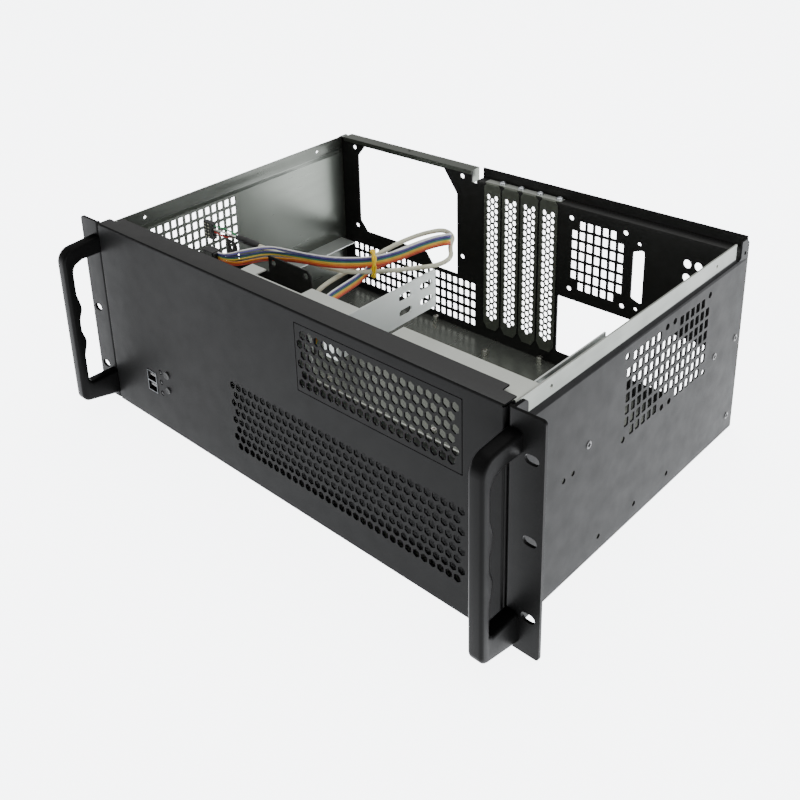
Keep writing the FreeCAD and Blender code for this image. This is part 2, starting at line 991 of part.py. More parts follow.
def connector_cuts():
    right = dsub_left + dsub_width
    top = dsub_bottom + dsub_height
    points = [
        (dsub_left, dsub_bottom + dsub_chamfer),
        (right, dsub_bottom),
        (right, top),
        (dsub_left, top - dsub_chamfer),
    ]
    cuts = [along_y(points, rear_y - overcut, rear_back + overcut)]
    middle = dsub_left + dsub_width / 2
    for z in (dsub_bottom - dsub_chamfer - small_hole, top + dsub_chamfer):
        cuts.append(bore(small_hole, middle, rear_y - overcut, z, sheet + 2 * overcut, (0, 1, 0)))
    for x in port_hole_x:
        for z in port_hole_z:
            cuts.append(bore(port_hole, x, rear_y - overcut, z, sheet + 2 * overcut, (0, 1, 0)))
    right = window_left + window_width
    top = window_bottom + window_height
    cuts.append(block(window_left, rear_y - overcut, window_bottom, right, rear_back + overcut, top))
    return cuts


def slot_centre(index):
    return first_slot + slot_pitch * index


def slot_cuts():
    half = slot_opening / 2
    cuts = []
    for index in range(slot_count):
        x = slot_centre(index)
        low = slot_opening_bottom
        cuts.append(block(x - half, rear_y - overcut, low, x + half, rear_back + overcut, slot_opening_top))
    return cuts


def rear_panel():
    cells = window_grid(
        psu_vent_left,
        psu_vent_bottom,
        psu_vent_width,
        psu_vent_height,
        psu_vent_columns,
        psu_vent_rows,
        window_web,
    )
    vent = [block(x0, rear_y - overcut, z0, x1, rear_back + overcut, z1) for x0, z0, x1, z1 in cells]
    cuts = [psu_opening()] + psu_screw_slots() + vent + fan_vent() + connector_cuts() + slot_cuts()
    return pierced(rear_plate(), cuts)


def rear_top_rail():
    # a channel that caps the rear panel over the power supply, with a deep end plate
    front = rear_y - sheet - rail_clearance
    profile = [
        (front, deck_z - rail_lip),
        (front, deck_z),
        (case_depth, deck_z),
        (case_depth, deck_z - rail_lip),
        (case_depth - sheet, deck_z - rail_lip),
        (case_depth - sheet, deck_z - sheet),
        (front + sheet, deck_z - sheet),
        (front + sheet, deck_z - rail_lip),
    ]
    rail = along_x(profile, rail_start, rail_end)
    low = deck_z - rail_height
    end = block(rail_end - sheet, rear_back + rail_clearance, low, rail_end, case_depth, deck_z)
    middle = (psu_left + psu_right) / 2
    hole = bore(small_hole, middle, (rear_back + case_depth) / 2, deck_z - 2 * sheet, 3 * sheet, (0, 0, 1))
    return pierced(joined([rail, end]), [hole])


# Slot covers


def slot_cover(index):
    # a perforated strip with a narrowed foot, and a tab bent back over the ledge
    x = slot_centre(index)
    half = cover_width / 2
    foot = cover_foot_width / 2
    front = rear_y - cover_sheet
    points = [
        (x - foot, cover_foot),
        (x + foot, cover_foot),
        (x + foot, cover_shoulder - foot / 2),
        (x + half, cover_shoulder),
        (x + half, ledge_z + cover_sheet),
        (x - half, ledge_z + cover_sheet),
        (x - half, cover_shoulder),
        (x - foot, cover_shoulder - foot / 2),
    ]
    strip = along_y(points, front, rear_y)
    tab_right = x + half + cover_tab_overlap
    tab = block(x - half, front, ledge_z, tab_right, rear_y + cover_tab, ledge_z + cover_sheet)
    cover = joined([strip, tab])
    holes = []
    middle = (slot_opening_bottom + slot_opening_top) / 2
    for count in range(cover_holes):
        z = middle + cover_hole_pitch * (count - (cover_holes - 1) / 2)
        for side in (-1, 1):
            rise = side * cover_hole_pitch / 4
            cell = hexagon(x + side * slot_opening / 4, z + rise, cover_hole_radius, 2 * cover_hole_radius)
            holes.append(along_y(cell, front - overcut, rear_y + overcut))
    return pierced(cover, holes)


def slot_screws():
    places = []
    y = rear_y + cover_tab / 2 + sheet
    for index in range(slot_count):
        places.append((slot_centre(index) + cover_screw_offset, y, ledge_z + cover_sheet))
    return screw_heads(places, screw_radius, screw_head, (0, 0, 1))


# Inside pieces


def standoff(x, y):
    # a brass hexagon standing on the floor
    radius = standoff_flats / math.sqrt(3)
    points = []
    for index in range(6):
        angle = math.radians(60 * index)
        points.append((x + radius * math.cos(angle), y + radius * math.sin(angle)))
    return along_z(points, sheet, sheet + standoff_height)


def standoffs():
    back = rear_y - board_rear_gap
    places = [(board_corner_x - x, back - y) for x in board_columns for y in board_rows]
    places.append((board_corner_x - extra_standoff[0], back - extra_standoff[1]))
    return Part.makeCompound([standoff(x, y) for x, y in places])


def drive_bracket(x, side, tab_width):
    # a hanging plate for one side of a drive; side is 1 where the drive is on its right
    low = deck_z - bracket_height
    x0 = min(x, x - side * sheet)
    plate = block(x0, frame_back, low, x0 + sheet, bracket_back, deck_z - sheet - seat)
    rise = block(x0, frame_y + flange_depth - bracket_notch_depth, low, x0 + sheet, bracket_back, deck_z)
    tab_x = x - side * tab_width
    tab = block(min(x, tab_x), frame_back, low, max(x, tab_x), frame_back + sheet, deck_z - sheet - seat)
    pieces = [plate, tab]
    if side > 0:
        pieces.append(rise)
    slots = []
    for y in drive_slot_places:
        for drop in drive_slot_rows:
            z = deck_z - drop
            x1 = x0 + sheet + overcut
            slots.append(obround_x(y, z, drive_slot_length, drive_slot_height, x0 - overcut, x1))
    return pierced(joined(pieces), slots)


def drive_cage():
    # a bent sheet: a back plate with screw ears, and two legs that reach the front frame
    back = cage_back + sheet
    points = [
        (cage_left, cage_bottom),
        (cage_right, cage_bottom),
        (cage_right, cage_top - cage_chamfer),
        (cage_right - cage_chamfer, cage_top),
        (cage_plate_left, cage_top),
        (cage_plate_left, cage_shoulder),
        (cage_left + cage_ear_width, cage_shoulder),
        (cage_left + cage_ear_width, cage_top - cage_chamfer),
        (cage_left + cage_ear_width - cage_chamfer, cage_top),
        (cage_left, cage_top),
    ]
    plate = along_y(points, cage_back, back)
    low = cage_shoulder - cage_leg_drop
    left = block(cage_left, frame_back, cage_bottom, cage_left + sheet, back, low)
    right = block(cage_right - sheet, frame_back, cage_bottom, cage_right, back, low)
    holes = []
    z = cage_top - cage_hole_drop
    for x in (cage_left + cage_hole_inset, cage_plate_left + cage_hole_inset, cage_right - cage_hole_inset):
        holes.append(bore(cage_hole, x, cage_back - overcut, z, sheet + 2 * overcut, (0, 1, 0)))
    return pierced(joined([plate, left, right]), holes)


def psu_shelf():
    # an angle on the left wall that carries the power supply
    left = -inner_wall
    back = rear_y - shelf_gap
    front = back - shelf_length
    upper = shelf_height + sheet
    top = block(left, front, shelf_height, left + shelf_width, back, upper)
    leg = block(left, front, shelf_height - shelf_leg, left + sheet, back, upper)
    return joined([top, leg])


def case_screws():
    places = [(half_body, y, z) for y, z in front_screw_places]
    places += [(half_body, case_depth - gap, z) for gap, z in rear_screw_places]
    right = screw_heads(places, side_screw_radius, side_screw_proud, (1, 0, 0))
    return Part.makeCompound([right, mirrored(right)])


# Free leads


def corner_arc(before, corner, after):
    # tangent arc at a route point, as large as its two runs allow
    back = before - corner
    ahead = after - corner
    turn = math.pi - back.getAngle(ahead)
    reach = 0.45 * min(back.Length, ahead.Length)
    radius = reach / math.tan(turn / 2)
    unit_back = back / back.Length
    unit_ahead = ahead / ahead.Length
    start = corner + unit_back * reach
    end = corner + unit_ahead * reach
    bisector = unit_back + unit_ahead
    bisector = bisector / bisector.Length
    middle = corner + bisector * (radius / math.cos(turn / 2) - radius)
    return start, middle, end, radius


def lead_section(start, direction, radius):
    # a four-sided ring square to the lead
    plane = Part.Plane(start, direction)
    points = []
    for index in range(5):
        angle = math.radians(90 * (index % 4))
        along = FreeCAD.Vector(radius * math.cos(angle), radius * math.sin(angle), 0)
        points.append(plane.Rotation.multVec(along) + start)
    return Part.makePolygon(points)


def lead(route, radius, name):
    # straight runs joined by tangent arcs, swept by a plain square section
    points = [FreeCAD.Vector(*point) for point in route]
    edges = []
    radii = []
    last = points[0]
    for index in range(1, len(points) - 1):
        start, middle, end, bend = corner_arc(points[index - 1], points[index], points[index + 1])
        edges.append(Part.LineSegment(last, start).toShape())
        edges.append(Part.Arc(start, middle, end).toShape())
        radii.append(round(bend, 1))
        last = end
    edges.append(Part.LineSegment(last, points[-1]).toShape())
    path = Part.Wire(edges)
    section = lead_section(points[0], points[1] - points[0], radius)
    tube = path.makePipeShell([section], True, False)
    ratio = tube.Volume / (Part.Face(section).Area * path.Length)
    print(name, "length", round(path.Length, 1), "radii", radii, "volume ratio", round(ratio, 4))
    return tube


def ribbon_plug():
    x, y, z = ribbon_route[-1]
    depth = plug_depth / 2
    rise = plug_height / 2
    return block(x - plug_length, y - depth, z - rise, x, y + depth, z + rise)


def data_sleeve():
    x, y, z = data_route[-1]
    return bore(sleeve_radius, x, y, z, sleeve_length, (-1, 0, 0))


def data_wires():
    # four thin conductors from the sleeve to the plug
    x, y, z = data_route[-1]
    start = x - sleeve_length
    gap = wire_radius + seat
    rods = []
    for side in (-1, 1):
        for rise in (-1, 1):
            rods.append(bore(wire_radius, start, y + side * gap, z + rise * gap, wire_length, (-1, 0, 0)))
    return Part.makeCompound(rods)


def data_plug():
    x, y, z = data_route[-1]
    right = x - sleeve_length - wire_length
    low = z - data_plug_drop
    depth = data_plug_depth / 2
    return block(right - data_plug_length, y - depth, low, right, y + depth, low + data_plug_height)


def twist_tie():
    # a flat band round the bundle, square to the leads
    x, y, z = tie_centre
    rise = tie_half_height - tie_half_width

    def stadium(radius):
        core = block(-radius, 0, -rise, radius, tie_length, rise)
        low = bore(radius, 0, 0, -rise, tie_length, (0, 1, 0), round_sides)
        high = bore(radius, 0, 0, rise, tie_length, (0, 1, 0), round_sides)
        return joined([core, low, high])

    band = stadium(tie_half_width + tie_band).cut(stadium(tie_half_width))
    band.rotate(FreeCAD.Vector(0, 0, 0), FreeCAD.Vector(0, 0, 1), tie_turn)
    band.translate(FreeCAD.Vector(x, y, z))
    return band


def main():
    os.makedirs("parts", exist_ok=True)
    save("chassis_tray", chassis_tray())
    save("front_frame", front_frame())
    save("front_panel", front_panel())
    save("vent_insert", vent_insert())
    save("dust_filter", dust_filter())
    save("ear_right", ear())
    save("ear_left", mirrored(ear()))
    save("ear_screws", ear_screws())
    save("handle_right", handle())
    save("handle_left", mirrored(handle()))
    save("handle_screws", handle_screws())
    save("io_board", io_board())
    save("usb_ports", usb_ports())
    save("led_lenses", led_lenses())
    save("power_button", push_button(power_radius, power_height))
    save("reset_button", push_button(reset_radius, reset_height))
    save("switch_bodies", switch_bodies())
    save("lead_header", lead_header())
    save("rear_panel", rear_panel())
    save("rear_top_rail", rear_top_rail())
    for index in range(slot_count):
        save("slot_cover_" + str(index + 1), slot_cover(index))
    save("slot_screws", slot_screws())
    save("standoffs", standoffs())
    save("drive_bracket", drive_bracket(bracket_x, 1, bracket_tab))
    rail_x = bracket_x + drive_width
    save("drive_rail", drive_bracket(rail_x, -1, half_body - joggle_step - sheet - seat - rail_x))
    save("drive_cage", drive_cage())
    save("psu_shelf", psu_shelf())
    save("case_screws", case_screws())
    save("ribbon_cable", lead(ribbon_route, ribbon_radius, "ribbon"))
    save("ribbon_plug", ribbon_plug())
    save("data_cable", lead(data_route, data_radius, "data cable"))
    save("data_sleeve", data_sleeve())
    save("data_wires", data_wires())
    save("data_plug", data_plug())
    save("twist_tie", twist_tie())


main()
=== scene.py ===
import math

import bpy
import numpy as np
from mathutils import Matrix, Vector
from mathutils.geometry import delaunay_2d_cdt


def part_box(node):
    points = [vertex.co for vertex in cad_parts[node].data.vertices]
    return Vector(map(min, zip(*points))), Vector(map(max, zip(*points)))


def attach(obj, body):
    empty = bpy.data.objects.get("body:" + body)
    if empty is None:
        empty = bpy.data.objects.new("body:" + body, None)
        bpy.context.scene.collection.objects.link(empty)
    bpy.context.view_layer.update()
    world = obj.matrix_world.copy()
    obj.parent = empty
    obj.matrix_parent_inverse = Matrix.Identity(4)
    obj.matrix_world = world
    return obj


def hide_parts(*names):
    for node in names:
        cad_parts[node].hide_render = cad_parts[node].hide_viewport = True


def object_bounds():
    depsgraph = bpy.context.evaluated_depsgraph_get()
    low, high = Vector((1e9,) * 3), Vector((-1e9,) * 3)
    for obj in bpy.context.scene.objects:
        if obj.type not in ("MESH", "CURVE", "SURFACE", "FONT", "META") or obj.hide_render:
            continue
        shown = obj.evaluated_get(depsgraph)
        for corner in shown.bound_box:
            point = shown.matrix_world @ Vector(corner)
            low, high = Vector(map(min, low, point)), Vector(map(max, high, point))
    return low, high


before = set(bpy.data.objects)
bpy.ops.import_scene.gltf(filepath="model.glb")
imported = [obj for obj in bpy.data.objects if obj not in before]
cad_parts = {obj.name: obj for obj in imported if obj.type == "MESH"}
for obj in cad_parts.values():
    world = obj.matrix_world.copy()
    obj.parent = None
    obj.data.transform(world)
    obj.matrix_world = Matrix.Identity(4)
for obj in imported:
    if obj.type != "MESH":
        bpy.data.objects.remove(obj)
cadLow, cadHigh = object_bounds()
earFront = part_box("ear_right")[0].y * 1000  # the ears' front face; shapes below are in mm from it
print("frame loaded")


# small tools

def toFrame(points):
    # millimetres from the ears' front, the middle and the underside -> metres in the frame
    points = np.asarray(points, float).reshape(-1, 3)
    return (points + [0, earFront, 0]) / 1000


def toMm(points):
    # metres in the frame -> the same millimetres
    return np.asarray(points, float).reshape(-1, 3) * 1000 - [0, earFront, 0]


def nodeBox(node):
    # a node's box, lowest and highest corner, in millimetres
    return toMm([tuple(corner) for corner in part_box(node)])


def linear(code):
    # sRGB hex to linear light: below 0.04045 divide by 12.92, above ((c + 0.055) / 1.055) ^ 2.4
    code = code.lstrip("#")
    rgb = np.array([int(code[i:i + 2], 16) / 255 for i in (0, 2, 4)])
    low = rgb / 12.92
    high = ((rgb + 0.055) / 1.055) ** 2.4
    return (*np.where(rgb <= 0.04045, low, high).tolist(), 1.0)


def addObject(name, data):
    # one object in the scene
    made = bpy.data.objects.new(name, data)
    bpy.context.scene.collection.objects.link(made)
    return made


def pick(values, names):
    # several of a dictionary's values, named in one string
    return [values[name] for name in names.split()]


def addNode(tree, kind, links=None, **settings):
    # one node, its settings, and its inputs as values or as sockets to link
    node = tree.nodes.new(kind)
    for key, value in settings.items():
        setattr(node, key, value)
    for key, value in (links or {}).items():
        if isinstance(value, bpy.types.NodeSocket):
            tree.links.new(value, node.inputs[key])
        else:
            node.inputs[key].default_value = value
    return node


def newMaterial(name, **values):
    # a material with its shader and the object coordinates
    material = bpy.data.materials.new(name)
    material.use_nodes = True
    tree = material.node_tree
    shader = tree.nodes["Principled BSDF"]
    for key, value in values.items():
        shader.inputs[key.replace("_", " ")].default_value = value
    coords = addNode(tree, "ShaderNodeTexCoord").outputs["Object"]
    return material, tree, shader, coords


def grain(tree, coords, sizeMm, low=0.0, high=1.0, detail=2.0, stretch=(1.0, 1.0, 1.0), span=(0.3, 0.7)):
    # noise with features about sizeMm across; its span is brought to low and high
    moved = addNode(tree, "ShaderNodeMapping", {"Vector": coords, "Scale": stretch}).outputs[0]
    links = {"Vector": moved, "Scale": 1000 / sizeMm, "Detail": detail}
    pattern = addNode(tree, "ShaderNodeTexNoise", links).outputs["Fac"]
    links = {"Value": pattern, "From Min": span[0], "From Max": span[1], "To Min": low, "To Max": high}
    return addNode(tree, "ShaderNodeMapRange", links).outputs[0]


def dress(tree, shader, tone, dark, light, rough, relief, strength, depthMm, blend="MIX"):
    # the colour lies between dark and light by tone; roughness and relief come from patterns
    dark, light = (linear(colour) if isinstance(colour, str) else colour for colour in (dark, light))
    mix = addNode(tree, "ShaderNodeMix", {0: tone, 6: dark, 7: light}, data_type="RGBA", blend_type=blend)
    links = {"Height": relief, "Strength": strength, "Distance": depthMm / 1000}
    bump = addNode(tree, "ShaderNodeBump", links)
    tree.links.new(mix.outputs[2], shader.inputs["Base Color"])
    tree.links.new(bump.outputs[0], shader.inputs["Normal"])
    if rough is not None:
        tree.links.new(rough, shader.inputs["Roughness"])


# materials

def powderCoat(name, dark, light, roughness=0.5, grainMm=0.9, bump=0.25, gloss=0.35):
    # thermoset powder coat on steel: satin, even, with the fine orange peel of melted grains;
    # the peel is about 0.3 mm in life and is drawn near 0.9 mm so that it shows
    material, tree, shader, coords = newMaterial(name, IOR=1.5, Specular_IOR_Level=gloss)
    tone = grain(tree, coords, 70, detail=3, span=(0.25, 0.75))
    rough = grain(tree, coords, 14, roughness - 0.04, roughness + 0.04, 3)
    dress(tree, shader, tone, dark, light, rough, grain(tree, coords, grainMm), bump, 0.05)
    return material


def zincSheet(name, dark, light, roughness=0.34, metallic=0.7, cloudMm=90.0):
    # electroplated zinc on rolled steel: satin, slightly green grey, soft cloudy tone a hand wide
    # and fine rolling streaks along the sheet
    material, tree, shader, coords = newMaterial(name, Metallic=metallic)
    tone = grain(tree, coords, cloudMm)
    rough = grain(tree, coords, 3.5, roughness - 0.03, roughness + 0.04, 3, (1.0, 0.05, 1.0))
    dress(tree, shader, tone, dark, light, rough, grain(tree, coords, 1.4), 0.05, 0.02)
    return material


def brightMetal(name, code, roughness=0.28):
    # electroplated steel, as on screws and shells: bright, with a slight haze and fine turning marks
    material, tree, shader, coords = newMaterial(name, Metallic=1.0)
    paler = [min(1.0, c * 1.25) for c in linear(code)[:3]] + [1.0]
    rough = grain(tree, coords, 2.5, roughness - 0.05, roughness + 0.1, 3)
    tone = grain(tree, coords, 2.5, detail=3)
    dress(tree, shader, tone, code, paler, rough, grain(tree, coords, 0.7), 0.1, 0.02)
    return material


def mouldedPlastic(name, dark, light, roughness=0.42, grainMm=0.8, gloss=0.5):
    # injection moulded nylon or ABS: even colour, a light spark-eroded texture
    material, tree, shader, coords = newMaterial(name, IOR=1.49, Specular_IOR_Level=gloss)
    rough = grain(tree, coords, 3, roughness - 0.04, roughness + 0.06)
    tone = grain(tree, coords, 9)
    dress(tree, shader, tone, dark, light, rough, grain(tree, coords, grainMm), 0.2, 0.03)
    return material


def filterFoam(name):
    # reticulated polyurethane foam: open black cells about 1 mm across that swallow light; the cells' middles
    # are drawn darker than their struts, painted shade in the open pores
    material, tree, shader, coords = newMaterial(name, Roughness=0.95)
    links = {"Vector": coords, "Scale": 1000 / 1.1}
    cells = addNode(tree, "ShaderNodeTexVoronoi", links, feature="DISTANCE_TO_EDGE").outputs["Distance"]
    dress(tree, shader, cells, "#161616", "#040404", None, cells, 0.8, 0.5)
    return material


def wireSheath(name):
    # extruded PVC insulation: the colour comes from each wire, semi-gloss, slightly uneven
    material, tree, shader, coords = newMaterial(name, IOR=1.53)
    wire = addNode(tree, "ShaderNodeAttribute", attribute_name="wireColour").outputs["Color"]
    shade = grain(tree, coords, 6, 0.0, 0.2)
    rough = grain(tree, coords, 2, 0.34, 0.5)
    dress(tree, shader, shade, wire, "#5a5a52", rough, grain(tree, coords, 1.2), 0.1, 0.03, "MULTIPLY")
    return material


def studioPaper(name):
    # seamless paper sweep lit from below: nearly white, matt, with a very faint tooth
    material, tree, shader, coords = newMaterial(name, Roughness=0.9, Emission_Strength=6.0)
    shader.inputs["Emission Color"].default_value = linear("#f6f8fb")
    tone = grain(tree, coords, 300)
    dress(tree, shader, tone, "#f3f5f8", "#f7f9fb", None, grain(tree, coords, 2), 0.02, 0.1)
    return material


paint = powderCoat("powderCoatBlack", "#121212", "#151515", 0.48, gloss=0.05)
bezelPaint = powderCoat("powderCoatBezel", "#101010", "#131313", 0.46, gloss=0.025)
# a lighter, glossier copy of the black powder coat for the bezel's top lip: painted light on the upward face
litLipPaint = powderCoat("powderCoatLitLip", "#141414", "#181818", 0.42, gloss=0.4)
earPaint = powderCoat("powderCoatDeep", "#070707", "#090909", 0.42, gloss=0.04)
handlePaint = powderCoat("castHandleCoat", "#070707", "#0a0a0a", 0.36, 1.1, 0.2, 0.03)
innerBlack = powderCoat("powderCoatInside", "#181817", "#1e1e1d", 0.5, gloss=0.25)
# near black for seams, the cut edges of openings and the tray's joggle: painted shade where sheets meet, step
# or are pierced
paintedShadeBlack = powderCoat("paintedShadeEdge", "#050505", "#080808", 0.6, gloss=0.05)
wallZinc = zincSheet("platedZincWall", "#585c56", "#646862", 0.3)
# a lighter, smoother copy of the wall zinc for the tray floor: painted light
litFloorZinc = zincSheet("platedZincFloorLit", "#80847d", "#8c9089", 0.24)
# a darker copy of the zinc for the outside of the upper band: painted shade
shadedOuterZinc = zincSheet("platedZincOuterShaded", "#484c46", "#5a5e58", 0.34, 0.7, 30.0)
# the bare cut edges, paler and more metallic than the zinc: bare steel with a painted highlight along the
# edges
edgeZincAndHighlight = zincSheet("cutZincEdgeHighlight", "#999d95", "#b9bcb4", 0.3, 0.85, 20.0)
flangeZinc = zincSheet("zincFlange", "#c0c4bc", "#cdd0c9", 0.36, 0.7)
plateZinc = zincSheet("zincDrivePlate", "#c2c7c3", "#d0d4d1", 0.38, 0.6)
# a darker copy of the wall zinc for the inside of the upper band: painted shade
shadedBandZinc = zincSheet("shadedZincBand", "#3c3f3a", "#464944", 0.3, 0.7, 60.0)
railZinc = zincSheet("darkZincRail", "#52564f", "#60645d", 0.34, 0.7, 60.0)
# a dark copy of the zinc for the slot covers' faces: painted shade
shadedCoverZinc = zincSheet("coverZincPaintedShade", "#5a5e56", "#666a61", 0.42, 0.55, 40.0)
screwZinc = brightMetal("bluedZincScrew", "#b9bcc0")
# dark grey metal for the tinned socket shell: painted shade
shadedShellMetal = brightMetal("tinnedShellShaded", "#36383a", 0.3)
blackScrew = powderCoat("blackOxideScrew", "#141414", "#1e1e1e", 0.35, 0.8, 0.1)
nickelledSteel = brightMetal("nickelledPost", "#dddcd6", 0.25)
foam = filterFoam("reticulatedFoam")
board = mouldedPlastic("solderMaskGreen", "#0f3a22", "#164a2c", 0.35)
blackPlastic = mouldedPlastic("nylonBlack", "#0c0c0c", "#131313")
capPlastic = mouldedPlastic("keyCapGrey", "#161616", "#1e1e1e", gloss=0.06)
lampPlastic = mouldedPlastic("smokedLens", "#040404", "#070708", 0.3, gloss=0.08)
sheath = wireSheath("pvcWireSheath")
sleeveBlack = mouldedPlastic("heatShrinkBlack", "#0e0e0e", "#171717", 0.5, 1.0)
jacket = mouldedPlastic("pvcJacketPale", "#b6b59f", "#c9c8b3", 0.4, 1.2)
tiePlastic = mouldedPlastic("pvcTieYellow", "#dcb000", "#f0c808", 0.4)
print("materials made")


# camera, light and floor

cameraView = {
    "position": (0.51847, -0.57022, 0.52137),
    "azimuth": 47.82,
    "elevation": 21.13,
    "roll": -3.69,
    "lens": 46.686,
    "shift": (0.1325, -0.268),
}


def makeCamera(values):
    # turned up from looking down by 90 degrees less the elevation, then round by the azimuth; rolled first
    azimuth, elevation, roll = np.radians(pick(values, "azimuth elevation roll")).tolist()
    data = bpy.data.cameras.new("studioCamera")
    data.lens = values["lens"]
    data.sensor_width = 36
    data.shift_x, data.shift_y = values["shift"]
    camera = addObject("studioCamera", data)
    camera.matrix_world = (Matrix.Translation(values["position"]) @ Matrix.Rotation(azimuth, 4, "Z")
                           @ Matrix.Rotation(math.pi / 2 - elevation, 4, "X") @ Matrix.Rotation(roll, 4, "Z"))
    bpy.context.scene.camera = camera


studioLight = {
    "world": ("#f9f9f8", 0.6),
    "areas": [  # name, position, target, size, watts
        ("keyPanel", (-1.2, -1.0, 1.9), (0, 0, 0.1), 1.2, 5),
        ("sidePanel", (1.9, 0.5, 1.3), (0.1, 0, 0.1), 1.4, 14),
        ("topPanel", (-0.2, 0.6, 2.2), (0, 0, 0), 1.8, 26),
    ],
    "floorSize": 40.0,
    "floorDrop": 0.0002,
}


def makeStudio(values):
    # an even sky, three square lamps aimed at the part, and a flat floor just under it
    world = bpy.data.worlds.new("paleStudio")
    world.use_nodes = True
    sky = world.node_tree.nodes["Background"]
    sky.inputs["Color"].default_value = linear(values["world"][0])
    sky.inputs["Strength"].default_value = values["world"][1]
    bpy.context.scene.world = world
    for name, position, target, size, watts in values["areas"]:
        lamp = bpy.data.lights.new(name, "AREA")
        lamp.shape = "SQUARE"
        lamp.size = size
        lamp.energy = watts
        holder = addObject(name, lamp)
        aim = Vector(target) - Vector(position)
        holder.rotation_euler = aim.to_track_quat("-Z", "Y").to_euler()
        holder.location = position
    half = values["floorSize"] / 2
    corners = np.array([[-half, -half, 0], [half, -half, 0], [half, half, 0], [-half, half, 0]])
    corners[:, 2] = cadLow.z - values["floorDrop"]
    mesh = bpy.data.meshes.new("studioFloor")
    mesh.from_pydata(corners.tolist(), [], [(0, 1, 2, 3)])
    mesh.materials.append(studioPaper("paperSweep"))
    floor = addObject("studioFloor", mesh)


makeCamera(cameraView)
makeStudio(studioLight)
print("camera and studio made")


# mesh tools

def unit(vectors):
    # each vector divided by its length
    return vectors / np.linalg.norm(vectors, axis=-1, keepdims=True)


def lengthAlong(points):
    # running length of a chain of points, from zero
    return np.concatenate([[0], np.cumsum(np.linalg.norm(np.diff(points, axis=0), axis=1))])


def joinedParts(parts):
    # several (points, faces, indices) as one: each part's faces move on by the points before it
    points, faces, indices, start = [], [], [], 0
    for partPoints, partFaces, partIndices in parts:
        points.append(partPoints)
        faces += [[index + start for index in face] for face in partFaces]
        indices.append(partIndices)
        start += len(partPoints)
    return np.concatenate(points), faces, np.concatenate(indices)


def meshPiece(name, node, parts, materials, smoothDeg=30, body="case"):
    # parts of points in mm, faces and one material index for each face; stands in for a CAD node
    points, faces, indices = joinedParts(parts)
    mesh = bpy.data.meshes.new(name)
    mesh.from_pydata(toFrame(points).tolist(), [], faces)
    for material in materials:
        mesh.materials.append(material)
    mesh.polygons.foreach_set("material_index", np.asarray(indices, np.int32))
    mesh.polygons.foreach_set("use_smooth", np.ones(len(mesh.polygons), bool))
    mesh.set_sharp_from_angle(angle=math.radians(smoothDeg))
    mesh.validate()
    piece = addObject(name, mesh)
    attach(piece, body)
    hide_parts(node)
    return piece


def softenEdges(piece, widthMm, segments=2, angleDeg=35):
    # a live bevel on the edges sharper than the angle
    bevel = piece.modifiers.new("softEdges", "BEVEL")
    bevel.width = widthMm / 1000
    bevel.segments = segments
    bevel.limit_method = "ANGLE"
    bevel.angle_limit = math.radians(angleDeg)


def signedArea(loop):
    # half the sum of x y' - x' y; positive when the loop turns left
    x, y = loop[:, 0], loop[:, 1]
    return 0.5 * np.sum(x * np.roll(y, -1) - np.roll(x, -1) * y)


def cutBlank(outline, holes=(), creases=()):
    # flat blank: the outline triangulated without its holes; each crease becomes a row of edges
    loops = [np.asarray(loop, float) for loop in (outline, *holes)]
    loops = [loop if signedArea(loop) > 0 else loop[::-1] for loop in loops]
    sizes = [len(loop) for loop in loops]
    starts = np.cumsum([0] + sizes[:-1])
    rings = [list(range(start, start + size)) for start, size in zip(starts, sizes)]
    points = np.concatenate(loops + [np.asarray(line, float) for line in creases])
    first = sum(sizes)
    lines = [(first + 2 * i, first + 2 * i + 1) for i in range(len(creases))]
    result = delaunay_2d_cdt([Vector(p) for p in points.tolist()], lines, rings, 0, 1e-6)
    flat = np.array([(p.x, p.y) for p in result[0]])
    faces = np.array([face for face, origin in zip(result[2], result[5]) if list(origin) == [0]], int)
    used, inverse = np.unique(faces, return_inverse=True)
    return flat[used], inverse.reshape(faces.shape)


def foldedSheet(blank, fold, thickness, bare=None):
    # both skins and the rim of a folded sheet: skin = fold(u, v, 0), back = fold(u, v, thickness);
    # material 0 outside, 1 inside, 2 on the cut edges; bare(u, v) picks where the outside and the
    # cut edges are left unpainted
    flat, faces = blank
    skin = fold(flat[:, 0], flat[:, 1], 0.0)
    back = fold(flat[:, 0], flat[:, 1], thickness)
    a, b, c = (skin[faces[:, k]] for k in range(3))
    inward = (back - skin)[faces[:, 0]]
    if np.sum(np.einsum("ij,ij->i", np.cross(b - a, c - a), inward)) > 0:
        faces = faces[:, ::-1]
    count = len(flat)
    edges = np.concatenate([faces[:, [0, 1]], faces[:, [1, 2]], faces[:, [2, 0]]])
    keys = edges[:, 0] * count + edges[:, 1]
    mates = edges[:, 1] * count + edges[:, 0]
    rim = edges[~np.isin(mates, keys)]
    rimFaces = np.stack([rim[:, 1], rim[:, 0], rim[:, 0] + count, rim[:, 1] + count], 1)
    outer, cut = np.zeros(len(faces), int), np.full(len(rim), 2)
    if bare is not None:
        outer[bare(*flat[faces].mean(1).T)] = 1
        cut[~bare(*flat[rim].mean(1).T)] = 0
    allFaces = faces.tolist() + (faces[:, ::-1] + count).tolist() + rimFaces.tolist()
    return np.concatenate([skin, back]), allFaces, np.concatenate([outer, np.ones(len(faces), int), cut])


def spun(vector, angles):
    # a flat vector turned by each angle
    cosines, sines = np.cos(angles), np.sin(angles)
    return np.stack([vector[0] * cosines - vector[1] * sines, vector[0] * sines + vector[1] * cosines], 1)


def cornerArc(corner, before, after, radius, steps):
    # the arc that rounds a corner between two unit directions, and the angles turned along it
    turn = math.atan2(before[0] * after[1] - before[1] * after[0], float(before @ after))
    start = corner - before * (radius * math.tan(abs(turn) / 2))
    centre = start + radius * np.sign(turn) * np.array([-before[1], before[0]])
    angles = np.linspace(0, turn, steps + 1)
    return [*(spun(start - centre, angles) + centre)], angles


